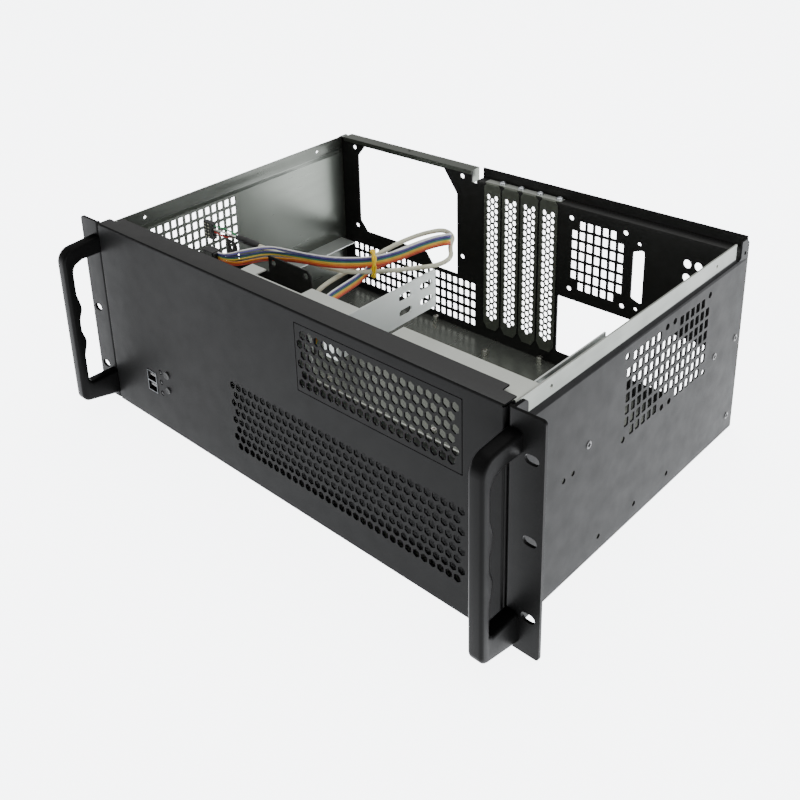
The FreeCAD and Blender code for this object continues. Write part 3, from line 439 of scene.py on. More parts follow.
class BentLine:
    # a section line of straight runs and bends; s is the length along it from the start
    def __init__(self, corners, radius, side, steps=5):
        corners = np.asarray(corners, float)
        directions = unit(np.diff(corners, axis=0))
        across = side * np.stack([-directions[:, 1], directions[:, 0]], 1)
        points, normals = [corners[0]], [across[0]]
        for k in range(1, len(corners) - 1):
            arc, angles = cornerArc(corners[k], directions[k - 1], directions[k], radius, steps)
            points += arc
            normals += [*spun(across[k - 1], angles)]
        self.points = np.array([*points, corners[-1]])
        self.normals = np.array([*normals, across[-1]])
        self.s = lengthAlong(self.points)
        self.length = self.s[-1]

    def at(self, s, depth=0.0):
        # point at s, moved by depth along the inward normal
        return [np.interp(s, self.s, self.points[:, k]) + depth * np.interp(s, self.s, self.normals[:, k])
                for k in range(2)]

    def stationOf(self, value, axis, first=0):
        # s where the line passes a coordinate, past the first points, where that coordinate rises
        values = self.points[first:, axis]
        order = np.argsort(values, kind="stable")
        return np.interp(value, values[order], self.s[first:][order])

    def bendLines(self, low, high):
        # crease lines (s, low) to (s, high) across the blank at every bend station
        return np.array([((s, low), (s, high)) for s in self.s[1:-1]])


def ring(centres, radiusU, radiusV, sides, turnDeg=0.0):
    # closed loops round each centre: centre + (radiusU cos t, radiusV sin t)
    t = np.radians(turnDeg) + 2 * np.pi * np.arange(sides) / sides
    loop = np.stack([radiusU * np.cos(t), radiusV * np.sin(t)], 1)
    return list(np.asarray(centres, float).reshape(-1, 1, 2) + loop)


def hexagons(centres, pitchSize):
    # upright hexagons, size over the flats and over the points
    return ring(centres, pitchSize[0] / math.sqrt(3), pitchSize[1] / 2, 6, 30)


def windows(centres, width, height, corner=0.7):
    # rectangles with small cut corners round each centre
    w, h, c = width / 2, height / 2, corner
    loop = np.array([(w, c - h), (w, h - c), (w - c, h), (c - w, h),
                     (-w, h - c), (-w, c - h), (c - w, -h), (w - c, -h)])
    return list(np.asarray(centres, float).reshape(-1, 1, 2) + loop)


def rectangle(u0, v0, u1, v1, inset=0.0):
    # the corners of a rectangle, each side moved inwards
    u0, v0, u1, v1 = u0 + inset, v0 + inset, u1 - inset, v1 - inset
    return np.array([(u0, v0), (u1, v0), (u1, v1), (u0, v1)])


def obround(centre, length, width, steps=6):
    # slot outline: two half circles and two straights
    t = np.linspace(-np.pi / 2, np.pi / 2, steps + 1)
    right = np.stack([(length - width) / 2 + width / 2 * np.cos(t), width / 2 * np.sin(t)], 1)
    return np.concatenate([right, -right]) + np.asarray(centre, float)


def roundedLoop(corners, radius, steps=4):
    # a polygon with its corners rounded; radius is one number or one for each corner
    corners = np.asarray(corners, float)
    before = unit(corners - np.roll(corners, 1, 0))
    after = np.roll(before, -1, 0)
    points = []
    for k, size in enumerate(np.broadcast_to(radius, len(corners))):
        points += cornerArc(corners[k], before[k], after[k], size, steps)[0] if size > 0 else [corners[k]]
    return np.array(points)


def gridCentres(columns, rows):
    # every column with every row
    u, v = np.meshgrid(columns, rows, indexing="ij")
    return np.stack([u.ravel(), v.ravel()], 1)


def facingY(y):
    # a flat sheet whose face looks to the front at y: (u, y + depth, v)
    def fold(u, v, depth):
        return np.stack([u, np.full_like(u, y) + depth, v], 1)
    return fold


def loft(rings):
    # the skin over rings with equal counts of points, closed by a flat cap at each end
    count, sides = rings.shape[:2]
    k, j = np.meshgrid(np.arange(count - 1), np.arange(sides), indexing="ij")
    a = (k * sides + j).ravel()
    b = (k * sides + (j + 1) % sides).ravel()
    faces = np.stack([a, b, b + sides, a + sides], 1).tolist()
    faces += [list(range(sides - 1, -1, -1)), list(range((count - 1) * sides, count * sides))]
    return rings.reshape(-1, 3), faces, np.zeros(len(faces), int)


def turned(centre, axis, radii, heights, sides=24, wave=None):
    # surface of revolution: ring k has radii[k] at heights[k] along the axis from the centre
    axis = np.asarray(axis, float)
    side = unit(np.cross(axis, [0.0, 0.0, 1.0] if abs(axis[2]) < 0.9 else [1.0, 0.0, 0.0]))
    t = 2 * np.pi * np.arange(sides) / sides
    radii, heights = np.asarray(radii, float), np.asarray(heights, float)
    spokes = np.cos(t)[:, None] * side + np.sin(t)[:, None] * np.cross(axis, side)
    rings = radii[:, None, None] * spokes[None] + heights[:, None, None] * axis
    if wave is not None:
        rings = rings + wave(radii, t)[:, :, None] * axis
    return loft(rings + np.asarray(centre, float))


def boxPart(low, high, index=0):
    # plain block between two corners
    (x0, y0, z0), (x1, y1, z1) = low, high
    points = np.array([(x, y, z) for z in (z0, z1) for y in (y0, y1) for x in (x0, x1)], float)
    faces = [[0, 2, 3, 1], [4, 5, 7, 6], [0, 1, 5, 4], [2, 6, 7, 3], [0, 4, 6, 2], [1, 3, 7, 5]]
    return points, faces, np.full(6, index)


def sweptTubes(line, widthDir, offsets, radius, sides=8):
    # round tubes beside each other along a line: centre + offset * (width direction, its normal)
    tangent = unit(np.gradient(line, axis=0))
    across = unit(widthDir - np.sum(widthDir * tangent, 1)[:, None] * tangent)
    normal = np.cross(tangent, across)
    t = 2 * np.pi * np.arange(sides) / sides
    loop = np.cos(t)[None, :, None] * across[:, None] + np.sin(t)[None, :, None] * normal[:, None]
    parts = []
    for offset in offsets:
        centre = line + offset[:, 0:1] * across + offset[:, 1:2] * normal
        parts.append(loft(centre[:, None] + radius * loop))
    return parts


def paintWires(piece, count, colours):
    # one colour for each run of count vertices
    values = np.concatenate([np.tile(linear(code), (count, 1)) for code in colours])
    attribute = piece.data.color_attributes.new("wireColour", "FLOAT_COLOR", "POINT")
    attribute.data.foreach_set("color", values.astype(np.float32).ravel())


def meshPoints(mesh):
    # a mesh's vertices in mm
    points = np.empty(len(mesh.vertices) * 3)
    mesh.vertices.foreach_get("co", points)
    return toMm(points)


# the free leads

ribbonLead = {
    "route": [
        (-146.0, 18.1, 42.0), (-146.0, 44.0, 42.0), (-122.0, 66.0, 50.0), (-82.0, 74.0, 60.0),
        (-42.0, 72.0, 80.0), (-14.0, 66.0, 102.0), (-2.0, 58.0, 124.0), (-2.0, 56.0, 141.0),
        (3.3, 61.6, 150.0), (3.4, 80.5, 152.0), (6.1, 96.2, 156.0), (8.4, 108.6, 163.0),
        (14.7, 130.1, 166.2), (21.2, 148.1, 169.2), (25.7, 164.3, 169.7), (26.4, 176.6, 167.2),
        (31.0, 178.0, 168.4), (34.3, 174.6, 170.2), (30.7, 163.0, 171.6), (25.4, 147.0, 170.8),
        (18.9, 129.0, 167.8), (11.7, 105.3, 168.2), (-5.2, 86.7, 169.5), (-19.4, 78.6, 170.0),
        (-35.7, 72.4, 170.5), (-49.2, 68.7, 170.0), (-63.0, 61.0, 170.5), (-71.0, 46.0, 170.0),
        (-79.5, 34.0, 169.0), (-91.5, 34.0, 169.0),
    ],
    "lengthMm": 566.0,
    "pitchMm": 1.25,  # between wire centres
    "wireMm": 1.25,
    "colours": ["#f1eff0", "#6a63a8", "#32387c", "#3f8a72", "#f0cf4a", "#f2a03c", "#e2662e", "#b23a26"],
    "groups": (1, 1, 0, 0, 0, -1, -1, -1),  # where each wire goes near the plug
    "partMm": 1.6,
    "parting": (0.86, 0.93, 0.96),  # shares of the length: parting begins, is done, meeting begins
    "squeeze": 0.25,  # how much closer the wires lie at the plug
    "sway": (0.5, 9, 2.1),  # mm up and down, half waves, phase from wire to wire
}
dataLead = {
    "route": [
        (-154.0, 18.1, 42.0), (-154.0, 44.0, 42.0), (-132.0, 78.0, 54.0), (-92.0, 94.0, 68.0),
        (-52.0, 94.0, 88.0), (-30.0, 82.0, 112.0), (-18.0, 64.0, 132.0), (-11.7, 62.9, 151.0),
        (-11.1, 90.7, 155.5), (-6.0, 102.0, 158.5), (6.7, 110.3, 169.0), (11.5, 130.0, 173.5),
        (12.5, 148.0, 174.0), (16.0, 166.0, 174.0), (22.0, 182.0, 173.0), (27.0, 188.0, 166.0),
        (31.3, 177.0, 162.4), (45.7, 162.0, 161.9), (45.5, 146.0, 161.1), (37.3, 129.0, 162.4),
        (28.1, 113.1, 163.6), (14.0, 103.4, 161.5), (-0.5, 90.9, 161.3), (-20.6, 84.8, 161.7),
        (-44.0, 77.0, 166.0), (-62.0, 67.0, 170.0), (-78.0, 67.0, 170.0),
    ],
    "lengthMm": 578.0,
    "radiusMm": 1.9,
    "wires": ["#2f8f57", "#e8e6de", "#c8322a", "#161616"],
    "wireMm": 1.3,
    "bow": (1.4, 1.5),  # how far the thin wires bow, back and up
    "sleeve": (2.3, 0.75, 0.08, 23),  # radius at the ends, swell, ripple, ripple's turn
    "pins": (5, 2.9, (2.0, 6.0), (1.6, 0.5, 1.1)),  # rows, pitch, columns, size
}
tieShape = {
    "halfAcross": 9.4,
    "strand": 1.05,
    "wind": (1.0, 0.5),  # how far a strand's centre leaves the loop, across and up
    "turns": 4,
}


def leadLine(name, route, radiusMm=0.0):
    # a smooth line through the corners' pull: a NURBS spline with the route as its control points
    curve = bpy.data.curves.new(name, "CURVE")
    curve.dimensions = "3D"
    curve.bevel_depth = radiusMm / 1000
    curve.bevel_resolution = 3
    curve.resolution_u = 10
    spline = curve.splines.new("NURBS")
    points = toFrame(route)
    spline.points.add(len(points) - 1)
    spline.points.foreach_set("co", np.hstack([points, np.ones((len(points), 1))]).ravel())
    spline.order_u = 3
    spline.use_endpoint_u = True
    return addObject(name, curve)


def readLine(piece, count):
    # evenly spaced points, in mm, on the line that Blender makes from the spline
    mesh = bpy.data.meshes.new_from_object(piece)
    points = meshPoints(mesh)
    bpy.data.meshes.remove(mesh)
    s = lengthAlong(points)
    even = np.linspace(0, s[-1], count)
    return np.stack([np.interp(even, s, points[:, k]) for k in range(3)], 1)


def smoothStep(value, low, high):
    # 3 t^2 - 2 t^3 between low and high
    t = np.clip((value - low) / (high - low), 0, 1)
    return t * t * (3 - 2 * t)


def makeRibbon(values):
    # eight wires side by side; the width direction is upright where the line runs level and
    # turns to +X where it climbs; near the plug the wires part into three groups
    guide = leadLine("ribbonGuide", values["route"])
    line = readLine(guide, 320)
    bpy.data.objects.remove(guide)
    climb = unit(np.gradient(line, axis=0))[:, 2:3] ** 2
    widthDir = (1 - climb) * np.array([0.0, 0.0, 1.0]) + climb * np.array([1.0, 0.0, 0.0])
    s = np.linspace(0, 1, len(line))
    count = len(values["colours"])
    partFrom, parted, meetFrom = values["parting"]
    sway, waves, phase = values["sway"]
    meet = smoothStep(s, meetFrom, 1.0)
    apart = smoothStep(s, partFrom, parted) * (1 - meet)
    offsets = []
    for k, group in enumerate(values["groups"]):
        across = ((count - 1) / 2 - k) * values["pitchMm"] * (1 - values["squeeze"] * meet)
        across = across + values["partMm"] * group * apart
        offsets.append(np.stack([across, sway * np.sin(waves * np.pi * s + phase * k) * apart], 1))
    parts = sweptTubes(line, widthDir, offsets, values["wireMm"] / 2)
    piece = meshPiece("ribbonWires", "ribbon_cable", parts, [sheath], 60)
    paintWires(piece, len(parts[0][0]), values["colours"])
    return piece, line


def makeDataCable(values):
    # the spline itself with a round section
    piece = leadLine("dataCable", values["route"], values["radiusMm"])
    piece.data.materials.append(jacket)
    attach(piece, "case")
    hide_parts("data_cable")
    return piece


def makeDataEnd(values):
    # the black sleeve as a shrunk tube, ends + swell * sqrt(sin) + ripple * sin; four thin wires
    # bowed by sin ^ 2; and the header shell with its pin dots
    low, high = nodeBox("data_sleeve")
    plugLow, plugHigh = nodeBox("data_plug")
    y, z = (low[1] + high[1]) / 2, (low[2] + high[2]) / 2
    x = np.linspace(0, 1, 15)
    ends, swell, ripple, turn = values["sleeve"]
    radius = ends + swell * np.sin(np.pi * np.clip(x * 1.1, 0, 1)) ** 0.5 + ripple * np.sin(turn * x)
    shrunk = turned((high[0], y, z), (-1, 0, 0), radius, x * (high[0] - low[0]))
    sleeve = meshPiece("heatShrink", "data_sleeve", [shrunk], [sleeveBlack], 50)
    t = np.linspace(0, 1, 26)
    upright, still = np.tile([0.0, 0.0, 1.0], (len(t), 1)), np.zeros((len(t), 2))
    bowBack, bowUp = values["bow"]
    parts = []
    for k in range(len(values["wires"])):
        rise = (1.5 - k) / 1.5
        start = np.array([low[0] + 2, y + 0.5 * (-1) ** k, z + 0.6 * rise])
        end = np.array([plugHigh[0] - 2, y + 0.3 * (-1) ** k, z - 2.6 + 4.4 * rise])
        bow = np.array([0, bowBack * math.cos(1.7 * k), bowUp * math.sin(2.2 * k + 0.6)])
        line = start + (end - start) * t[:, None] + bow * np.sin(np.pi * t)[:, None] ** 2
        parts += sweptTubes(line, upright, [still], values["wireMm"] / 2)
    wires = meshPiece("plugWires", "data_wires", parts, [sheath], 60)
    paintWires(wires, len(parts[0][0]), values["wires"])
    shell = [boxPart(plugLow + [0, 0.4, 0], plugHigh)]
    rows, pitch, columns, (pinWidth, pinDepth, pinHeight) = values["pins"]
    for row in range(rows):
        z = plugLow[2] + 1.6 + pitch * row
        for column in columns:
            x, y = plugLow[0] + column, plugLow[1]
            pinEnd = (x + pinWidth, y + pinDepth, z + pinHeight / 2)
            shell.append(boxPart((x, y, z - pinHeight / 2), pinEnd, 1))
    plug = meshPiece("headerShell", "data_plug", shell, [blackPlastic, jacket])
    return [sleeve, wires, plug]


def makeRibbonPlug():
    # a socket shell: a block with a stepped mouth
    low, high = nodeBox("ribbon_plug")
    blocks = [boxPart(low, (high[0] - 2, high[1], high[2])),
              boxPart((high[0] - 2, low[1] + 0.6, low[2] + 0.6), (high[0], high[1] - 0.6, high[2] - 0.6))]
    plug = meshPiece("ribbonSocket", "ribbon_plug", blocks, [blackPlastic])
    softenEdges(plug, 0.4)
    return plug


def makeTie(values):
    # a plastic tie of two strands wound round each other, four turns in one loop round the bundle
    low, high = nodeBox("twist_tie")
    along = np.array([math.sqrt(0.5), math.sqrt(0.5), 0])
    across = np.array([math.sqrt(0.5), -math.sqrt(0.5), 0])
    up = np.array([0.0, 0.0, 1.0])
    halfUp = (high[2] - low[2]) / 2 - 0.6
    t = np.linspace(0, 2 * np.pi, 91)
    c, s = np.cos(t)[:, None], np.sin(t)[:, None]
    loop = ((low + high) / 2 + values["halfAcross"] * c * across * (1 - 0.08 * s)
            + halfUp * s * up + 0.5 * np.sin(2 * t)[:, None] * along)
    wide, tall = values["wind"]
    winds = [values["turns"] * t + phase for phase in (0, np.pi)]
    offsets = [np.stack([wide * np.cos(wind), tall * np.sin(wind)], 1) for wind in winds]
    parts = sweptTubes(loop, np.tile(along, (len(t), 1)), offsets, values["strand"])
    return meshPiece("twistTie", "twist_tie", parts, [tiePlastic], 60)


ribbon, ribbonLine = makeRibbon(ribbonLead)
dataCable = makeDataCable(dataLead)
dataEnd = makeDataEnd(dataLead)
ribbonPlug = makeRibbonPlug()
tie = makeTie(tieShape)
print("leads made")


# tray

trayShape = {
    "sheet": 1.2,
    "half": 215.0,
    "joggleFoot": 155.4,
    "joggleTop": 159.8,
    "step": 1.6,
    "top": 173.4,
    "bend": 2.0,
    "depth": 316.0,
    "floorFront": 10.1,
    "floorEdge": 3.2,
    "backCut": 4.0,
    "relief": (297.5, 303.5, 160.8),  # front, back, height of the round's centre
    "rightColumns": 140.8 + 8.0 * np.arange(15),
    "endColumns": (1, 2, 3, 4, 5, 9, 10, 11, 12, 13),  # those that the first and last rows have
    "rightRows": np.array([84.2, 94.2, 104.3, 114.2, 124.1, 134.0, 144.0]),
    "leftColumns": 151.8 - 8.0 * np.arange(15),
    "leftRows": 148.6 - 10.0 * np.arange(7),
    "window": (5.4, 7.4),
    "rightRounds": [  # radius, columns, rows
        (2.6, (137.6, 191.4, 202.3, 255.2), (80.9, 147.6)),
        (2.1, (111.4, 159.6, 207.5), (14.0,)),
        (2.1, (63.7, 74.7), (87.7,)),
    ],
    "bandRounds": ((48.0, 166.5), (266.0, 166.5), (309.8, 162.1)),
    "bandRadius": 1.6,
    "bareAbove": 0.8,  # over the joggle, where the paint ends
    "creaseBelow": 4.0,  # under the joggle, where the creases of the rear tab begin
    "plainAbove": 20.0,  # over the floor's bend, where the joggle's fold takes over
}


def makeTray(values):
    # a floor and two walls folded from one blank: u is the length along the section from the
    # middle of the floor (negative to the left), v is Y; the upper band steps in except on the rear tab
    half, top, back, joggleFoot, joggleTop = pick(values, "half top depth joggleFoot joggleTop")
    inner = half - values["step"]
    corners = [(0, 0), (half, 0), (half, joggleFoot), (inner, joggleTop), (inner, top)]
    section = BentLine(corners, values["bend"], 1)

    def station(z):
        return section.stationOf(z, 1, 1)

    def onWall(side, columns, rows):
        centres = gridCentres(columns, rows)
        return np.stack([side * station(centres[:, 1]), centres[:, 0]], 1)

    reliefFront, reliefBack, reliefZ = values["relief"]
    floorFront, floorEdge, cut = pick(values, "floorFront floorEdge backCut")
    foot, edge = station(floorEdge), section.length
    roundTurn = np.linspace(0, np.pi, 9)
    radius = (reliefBack - reliefFront) / 2
    reliefArc = np.stack([station(reliefZ) - radius * np.sin(roundTurn),
                          (reliefFront + reliefBack) / 2 - radius * np.cos(roundTurn)], 1)
    right = [(foot, floorFront), (foot, 0), (edge, 0), (edge, reliefFront), *reliefArc.tolist(),
             (edge, reliefBack), (edge, back - cut), (edge - cut, back)]
    left = [(-foot, floorFront), (-foot, 0), (-edge, 0), (-edge, back - cut), (cut - edge, back)]
    columns, rows = values["rightColumns"], values["rightRows"]
    ends = columns[list(values["endColumns"])]
    centres = np.concatenate([onWall(1, columns, rows[1:-1]), onWall(1, ends, rows[[0, -1]]),
                              onWall(-1, values["leftColumns"], values["leftRows"])])
    width, height = values["window"]
    holes = windows(centres, height, width)
    for size, *spots in values["rightRounds"]:
        holes += ring(onWall(1, *spots), size, size, 12)
    for side in (-1, 1):
        holes += ring([(side * station(z), y) for y, z in values["bandRounds"]],
                      values["bandRadius"], values["bandRadius"], 10)
    lines = section.bendLines(-20, back + 20)
    creases = [*lines, *(lines * [-1, 1])]
    creaseEnd = -station(joggleFoot - values["creaseBelow"])
    creases += [((-edge, v), (creaseEnd, v)) for v in (reliefFront, reliefBack)]
    blank = cutBlank(np.array(right + left[::-1]), holes, creases)

    def fold(u, v, depth):
        x, z = section.at(np.abs(u), depth)
        plainX = np.where(np.abs(u) > station(values["plainAbove"]), half - depth, x)
        stepped = 1 - np.clip((v - reliefFront) / (reliefBack - reliefFront), 0, 1)
        return np.stack([np.sign(u) * (plainX + (x - plainX) * stepped), v, z], 1)

    bareFrom = station(joggleTop + values["bareAbove"])

    def bare(u, v):
        return (np.abs(u) > bareFrom) & (v < reliefBack) & (v > 0.5)

    points, faces, indices = foldedSheet(blank, fold, values["sheet"], bare)
    materials = [paint, wallZinc, edgeZincAndHighlight, shadedBandZinc, paintedShadeBlack, litFloorZinc, shadedOuterZinc]
    shadedBand, gap, floor, shadedOuterBand = 3, 4, 5, 6
    count = len(blank[1])
    u, v = blank[0][blank[1]].mean(1).T
    outside, inside, rims = indices[:count], indices[count:2 * count], indices[2 * count:]
    # the inner upper band in the darker zinc copy: painted shade
    inside[np.abs(u) > bareFrom] = shadedBand
    # the floor in the lighter zinc copy: painted light
    inside[np.abs(u) < foot] = floor
    # the outer upper band in the darker zinc copy: painted shade
    outside[outside == 1] = shadedOuterBand
    # the joggle's outer slope in near black: painted shade in the step under the band
    outside[(np.abs(u) > station(joggleFoot)) & (np.abs(u) < station(joggleTop)) & (v < reliefBack)] = gap
    # the front cut edges in near black: painted shade in the gap between bezel and ear
    rims[np.abs(points[np.array(faces[2 * count:]), 1]).max(1) < 0.5] = gap
    meshPiece("foldedTray", "chassis_tray", [(points, faces, indices)], materials)


makeTray(trayShape)
print("tray made")


# bezel and vent insert

bezelShape = {
    "sheet": 1.2,
    "half": 213.7,
    "height": 177.0,
    "face": -1.0,
    "lip": 10.0,
    "topLip": 19.5,
    "bend": 1.6,
    "sideGap": 0.6,
    "cornerGap": 0.4,
    "notch": (11.0, 7.5),  # at the top lip's ends, along X and back
    "insert": (33.5, 112.0, 183.0, 168.3),  # left, bottom, right, top
    "seam": 0.7,
    "portGap": 0.6,
    "lower": (-43.1, 84.5, (7.03, 7.97), 33, 8, True),  # left, top, pitch, columns, rows, short rows
    "lowerHole": (5.5, 6.9),
    "upper": (42.0, 160.0, (7.12, 8.05), 20, 6, False),
    "upperHole": (5.7, 7.4),
}
controlShape = {
    "lampX": -142.9,
    "lamps": (56.0, 46.0, 35.3),
    "lampRadii": (2.3, 2.5),
    "buttonX": -133.5,
    "buttons": ((56.7, 3.2), (41.7, 2.6)),  # height and radius
    "buttonGap": 0.35,
}


def staggered(left, top, pitch, columns, rows, shortRows):
    # rows half a pitch apart in turn; every second row may be one hole shorter
    centres = []
    for row in range(rows):
        odd = row % 2
        count = columns - (odd if shortRows else 0)
        shift = (0.5 if shortRows else -0.46) * odd
        u = left + pitch[0] * (np.arange(count) + shift)
        centres.append(np.stack([u, np.full(count, top - pitch[1] * row)], 1))
    return np.concatenate(centres)


def makeBezel(values, controls):
    # a face with its top, bottom and side lips folded back from one cross shaped blank:
    # u is X on the face and the length round the side bends, v the length round the upright section
    half, height, face, bend = pick(values, "half height face bend")
    upright = BentLine([(values["lip"], 0), (face, 0), (face, height), (values["topLip"], height)], bend, -1)
    across = BentLine([(0, face), (half, face), (half, values["lip"])], bend, 1)
    offBend = np.abs(upright.points[:, 1] - bend) + np.abs(upright.points[:, 0] - face)
    shift = upright.s[np.argmin(offBend)] - bend
    flap, halfIn, sideEnd = half - bend, half - values["sideGap"], across.length
    gap = bend + values["cornerGap"]
    lowV, highV = gap + shift, height - gap + shift
    notch, stepV = half - values["notch"][0], upright.length - values["notch"][1]
    right = [(halfIn, 0), (halfIn, lowV - bend), (flap, lowV - bend), (flap, lowV), (sideEnd, lowV),
             (sideEnd, highV), (flap, highV), (flap, highV + bend), (halfIn, highV + bend),
             (halfIn, stepV), (notch, stepV), (notch, upright.length)]
    left = [(-u, v) for u, v in reversed(right)]
    holes = [rectangle(*values["insert"]), *hexagons(staggered(*values["lower"]), values["lowerHole"])]
    portLow, portHigh = nodeBox("usb_ports")
    holes.append(rectangle(*portLow[[0, 2]], *portHigh[[0, 2]], -values["portGap"]))
    holes += ring([(controls["lampX"], z) for z in controls["lamps"]], *controls["lampRadii"], 16)
    for z, size in controls["buttons"]:
        radius = size + controls["buttonGap"]
        holes += ring([(controls["buttonX"], z)], radius, radius, 24)
    holes = [hole + [0, shift] for hole in holes]
    creases = [*upright.bendLines(-half - 20, half + 20)[:, :, ::-1]]
    for s in across.s[1:-1]:
        creases += [((s, lowV), (s, highV)), ((-s, lowV), (-s, highV))]
    blank = cutBlank(np.array(right + left), holes, creases)

    def fold(u, v, depth):
        y, z = upright.at(v, depth)
        sideX, sideY = across.at(np.abs(u), depth)
        onSide = (np.abs(u) > flap) & (v > lowV - 0.1) & (v < highV + 0.1)
        return np.stack([np.where(onSide, np.sign(u) * sideX, u), np.where(onSide, sideY, y), z], 1)

    points, faces, indices = foldedSheet(blank, fold, values["sheet"])
    # the top lip takes the lighter copy of the coat: painted light
    lipFrom = upright.length - values["topLip"] + face + 1.0
    indices[:len(blank[1])][blank[0][blank[1]].mean(1)[:, 1] > lipFrom] = 3
    # the cut edges round the vents, openings and sheet edges are near black: painted shade
    materials = [bezelPaint, innerBlack, paintedShadeBlack, litLipPaint]
    meshPiece("foldedBezel", "front_panel", [(points, faces, indices)], materials)


def makeInsert(values):
    # a perforated plate with a seam round it, darkened by painted shade on its near-black cut edges, and a
    # lip behind the bezel
    low, high = nodeBox("vent_insert")
    opening, sheet = values["insert"], values["sheet"]
    holes = hexagons(staggered(*values["upper"]), values["upperHole"])
    outline = roundedLoop(rectangle(*opening, values["seam"]), 0.8)
    rim = cutBlank(rectangle(low[0], low[2], high[0], high[2]), [rectangle(*opening, sheet)])
    parts = [foldedSheet(cutBlank(outline, holes), facingY(low[1]), sheet),
             foldedSheet(rim, facingY(low[1] + sheet + 0.05), sheet)]
    meshPiece("ventInsert", "vent_insert", parts, [bezelPaint, innerBlack, paintedShadeBlack])


makeBezel(bezelShape, controlShape)
makeInsert(bezelShape)
print("bezel made")


# rear panel and slot covers

rearShape = {
    "front": 304.4,
    "sheet": 1.2,
    "half": 213.7,
    "ledge": 164.3,
    "crown": 175.5,
    "crownStart": -38.0,
    "railEnd": -43.5,
    "underRail": 172.1,
    "depth": 316.0,
    "supply": [(-181.6, 168.0), (-190.8, 156.8), (-190.8, 83.2), (-181.6, 72.0), (-101.2, 72.0),
               (-92.0, 59.6), (-61.4, 59.6), (-61.4, 145.6), (-77.0, 168.0)],
    "supplyRounds": [(-55.0, 164.9), (-55.0, 80.5), (-195.5, 164.5), (-195.5, 76.0)],
    "rounds": (2.4, 2.3, 1.7),  # radius by the supply, the fan and the connector
    "supplyVent": (-42.2 - 7.45 * np.arange(22), 12.5 + 9.85 * np.arange(5)),
    "supplyWindow": (5.2, 7.3),
    "fan": (64.5, 84.6, 7, 7.45, 9.83),  # left, bottom, count each way, pitches
    "fanWindow": (5.3, 7.8),
    "window": (53.3, 15.8, 207.0, 74.3),
    "connector": [(124.5, 95.0), (134.8, 91.0), (134.8, 142.5), (124.5, 138.5)],
    "connectorRounds": [(129.6, 85.8), (129.6, 146.8)],
    "audio": ((172.0, 181.4), (129.0, 141.5)),
    "audioRadii": (3.3, 3.9),
    "slots": [-19.4 + 20.32 * k for k in range(4)],
    "slotOpening": (13.0, 20.0, 154.0),
    "corners": (0.6, 2.2, 1.5),  # of the vents, the connector and the large window
}


def makeRearPanel(values):
    # a wall whose right part folds back to a ledge and up to a crown; the left part stays plain;
    # the line is on the back skin, and the front skin lies one sheet inside
    front, half, back, sheet = pick(values, "front half depth sheet")
    wall, start = values["ledge"] - sheet, values["crownStart"]
    inner = front + sheet
    upright = BentLine([(inner, sheet), (inner, wall), (back, wall), (back, values["crown"])], 0.01, 1, 2)
    railEnd, underRail, under = values["railEnd"], values["underRail"], wall - 2
    outline = np.array([(-half, sheet), (half, sheet), (half, upright.length), (start, upright.length),
                        (start, under), (railEnd, under), (railEnd, underRail), (-half, underRail)])
    outline[:, 1] -= sheet
    holes = [np.array(values["supply"])]
    ventCorner, connectorCorner, windowCorner = values["corners"]
    supplyRound, fanRound, connectorRound = values["rounds"]
    holes += ring(values["supplyRounds"], supplyRound, supplyRound, 14)
    holes += windows(gridCentres(*values["supplyVent"]), *values["supplyWindow"], ventCorner)
    left, bottom, count, across, up = values["fan"]
    columns = left + across * (np.arange(count) + 0.5)
    rows = bottom + up * (np.arange(count) + 0.5)
    centres = gridCentres(columns, rows)
    middle = count // 2
    inField = (np.abs(centres[:, 0] - columns[middle]) < middle * across - 0.1)
    inField |= (np.abs(centres[:, 1] - rows[middle]) < middle * up - 0.1)
    holes += windows(centres[inField], *values["fanWindow"], ventCorner)
    corners = gridCentres((left, left + count * across), (bottom, bottom + count * up))
    holes += ring(corners, fanRound, fanRound, 14)
    holes.append(roundedLoop(values["connector"], connectorCorner))
    holes += ring(values["connectorRounds"], connectorRound, connectorRound, 12)
    holes += ring(gridCentres(*values["audio"]), *values["audioRadii"], 16)
    holes.append(roundedLoop(rectangle(*values["window"]), windowCorner))
    width, low, high = values["slotOpening"]
    holes += [rectangle(x - width / 2, low, x + width / 2, high) for x in values["slots"]]
    holes = [hole - [0, sheet] for hole in holes]
    blank = cutBlank(outline, holes, upright.bendLines(-half - 20, half + 20)[:, :, ::-1])

    def fold(u, v, depth):
        y, z = upright.at(v, depth)
        plain = u < start - 0.5
        return np.stack([u, np.where(plain, inner - depth, y), np.where(plain, v + sheet, z)], 1)

    parts = [foldedSheet(blank, fold, sheet)]
    for x in (-half, half - sheet):
        parts.append(boxPart((x, inner, 2.4), (x + sheet, back, values["ledge"] - 1.3), 1))
    meshPiece("rearPanel", "rear_panel", parts, [paint, innerBlack, innerBlack])


coverShape = {
    "sheet": 0.9,
    "width": 18.4,
    "footWidth": 10.2,
    "foot": 12.6,
    "shoulder": 19.0,
    "neck": 2.6,
    "ear": 1.6,
    "tab": 7.4,  # length at the end drawn in the lighter flange zinc: painted light on the lit tab
    "cuts": (13.0, 9.6, 8.6, 7.2, 7.6),  # from the end: the neck begins, is narrow, ends; ear right, left
    "columns": (-4.3, 0.0, 4.3),
    "rowPitch": 6.52,
    "rows": 20,
    "firstRow": 27.9,
    "hole": (2.1, 2.8),  # half width, and half height before the flat
}


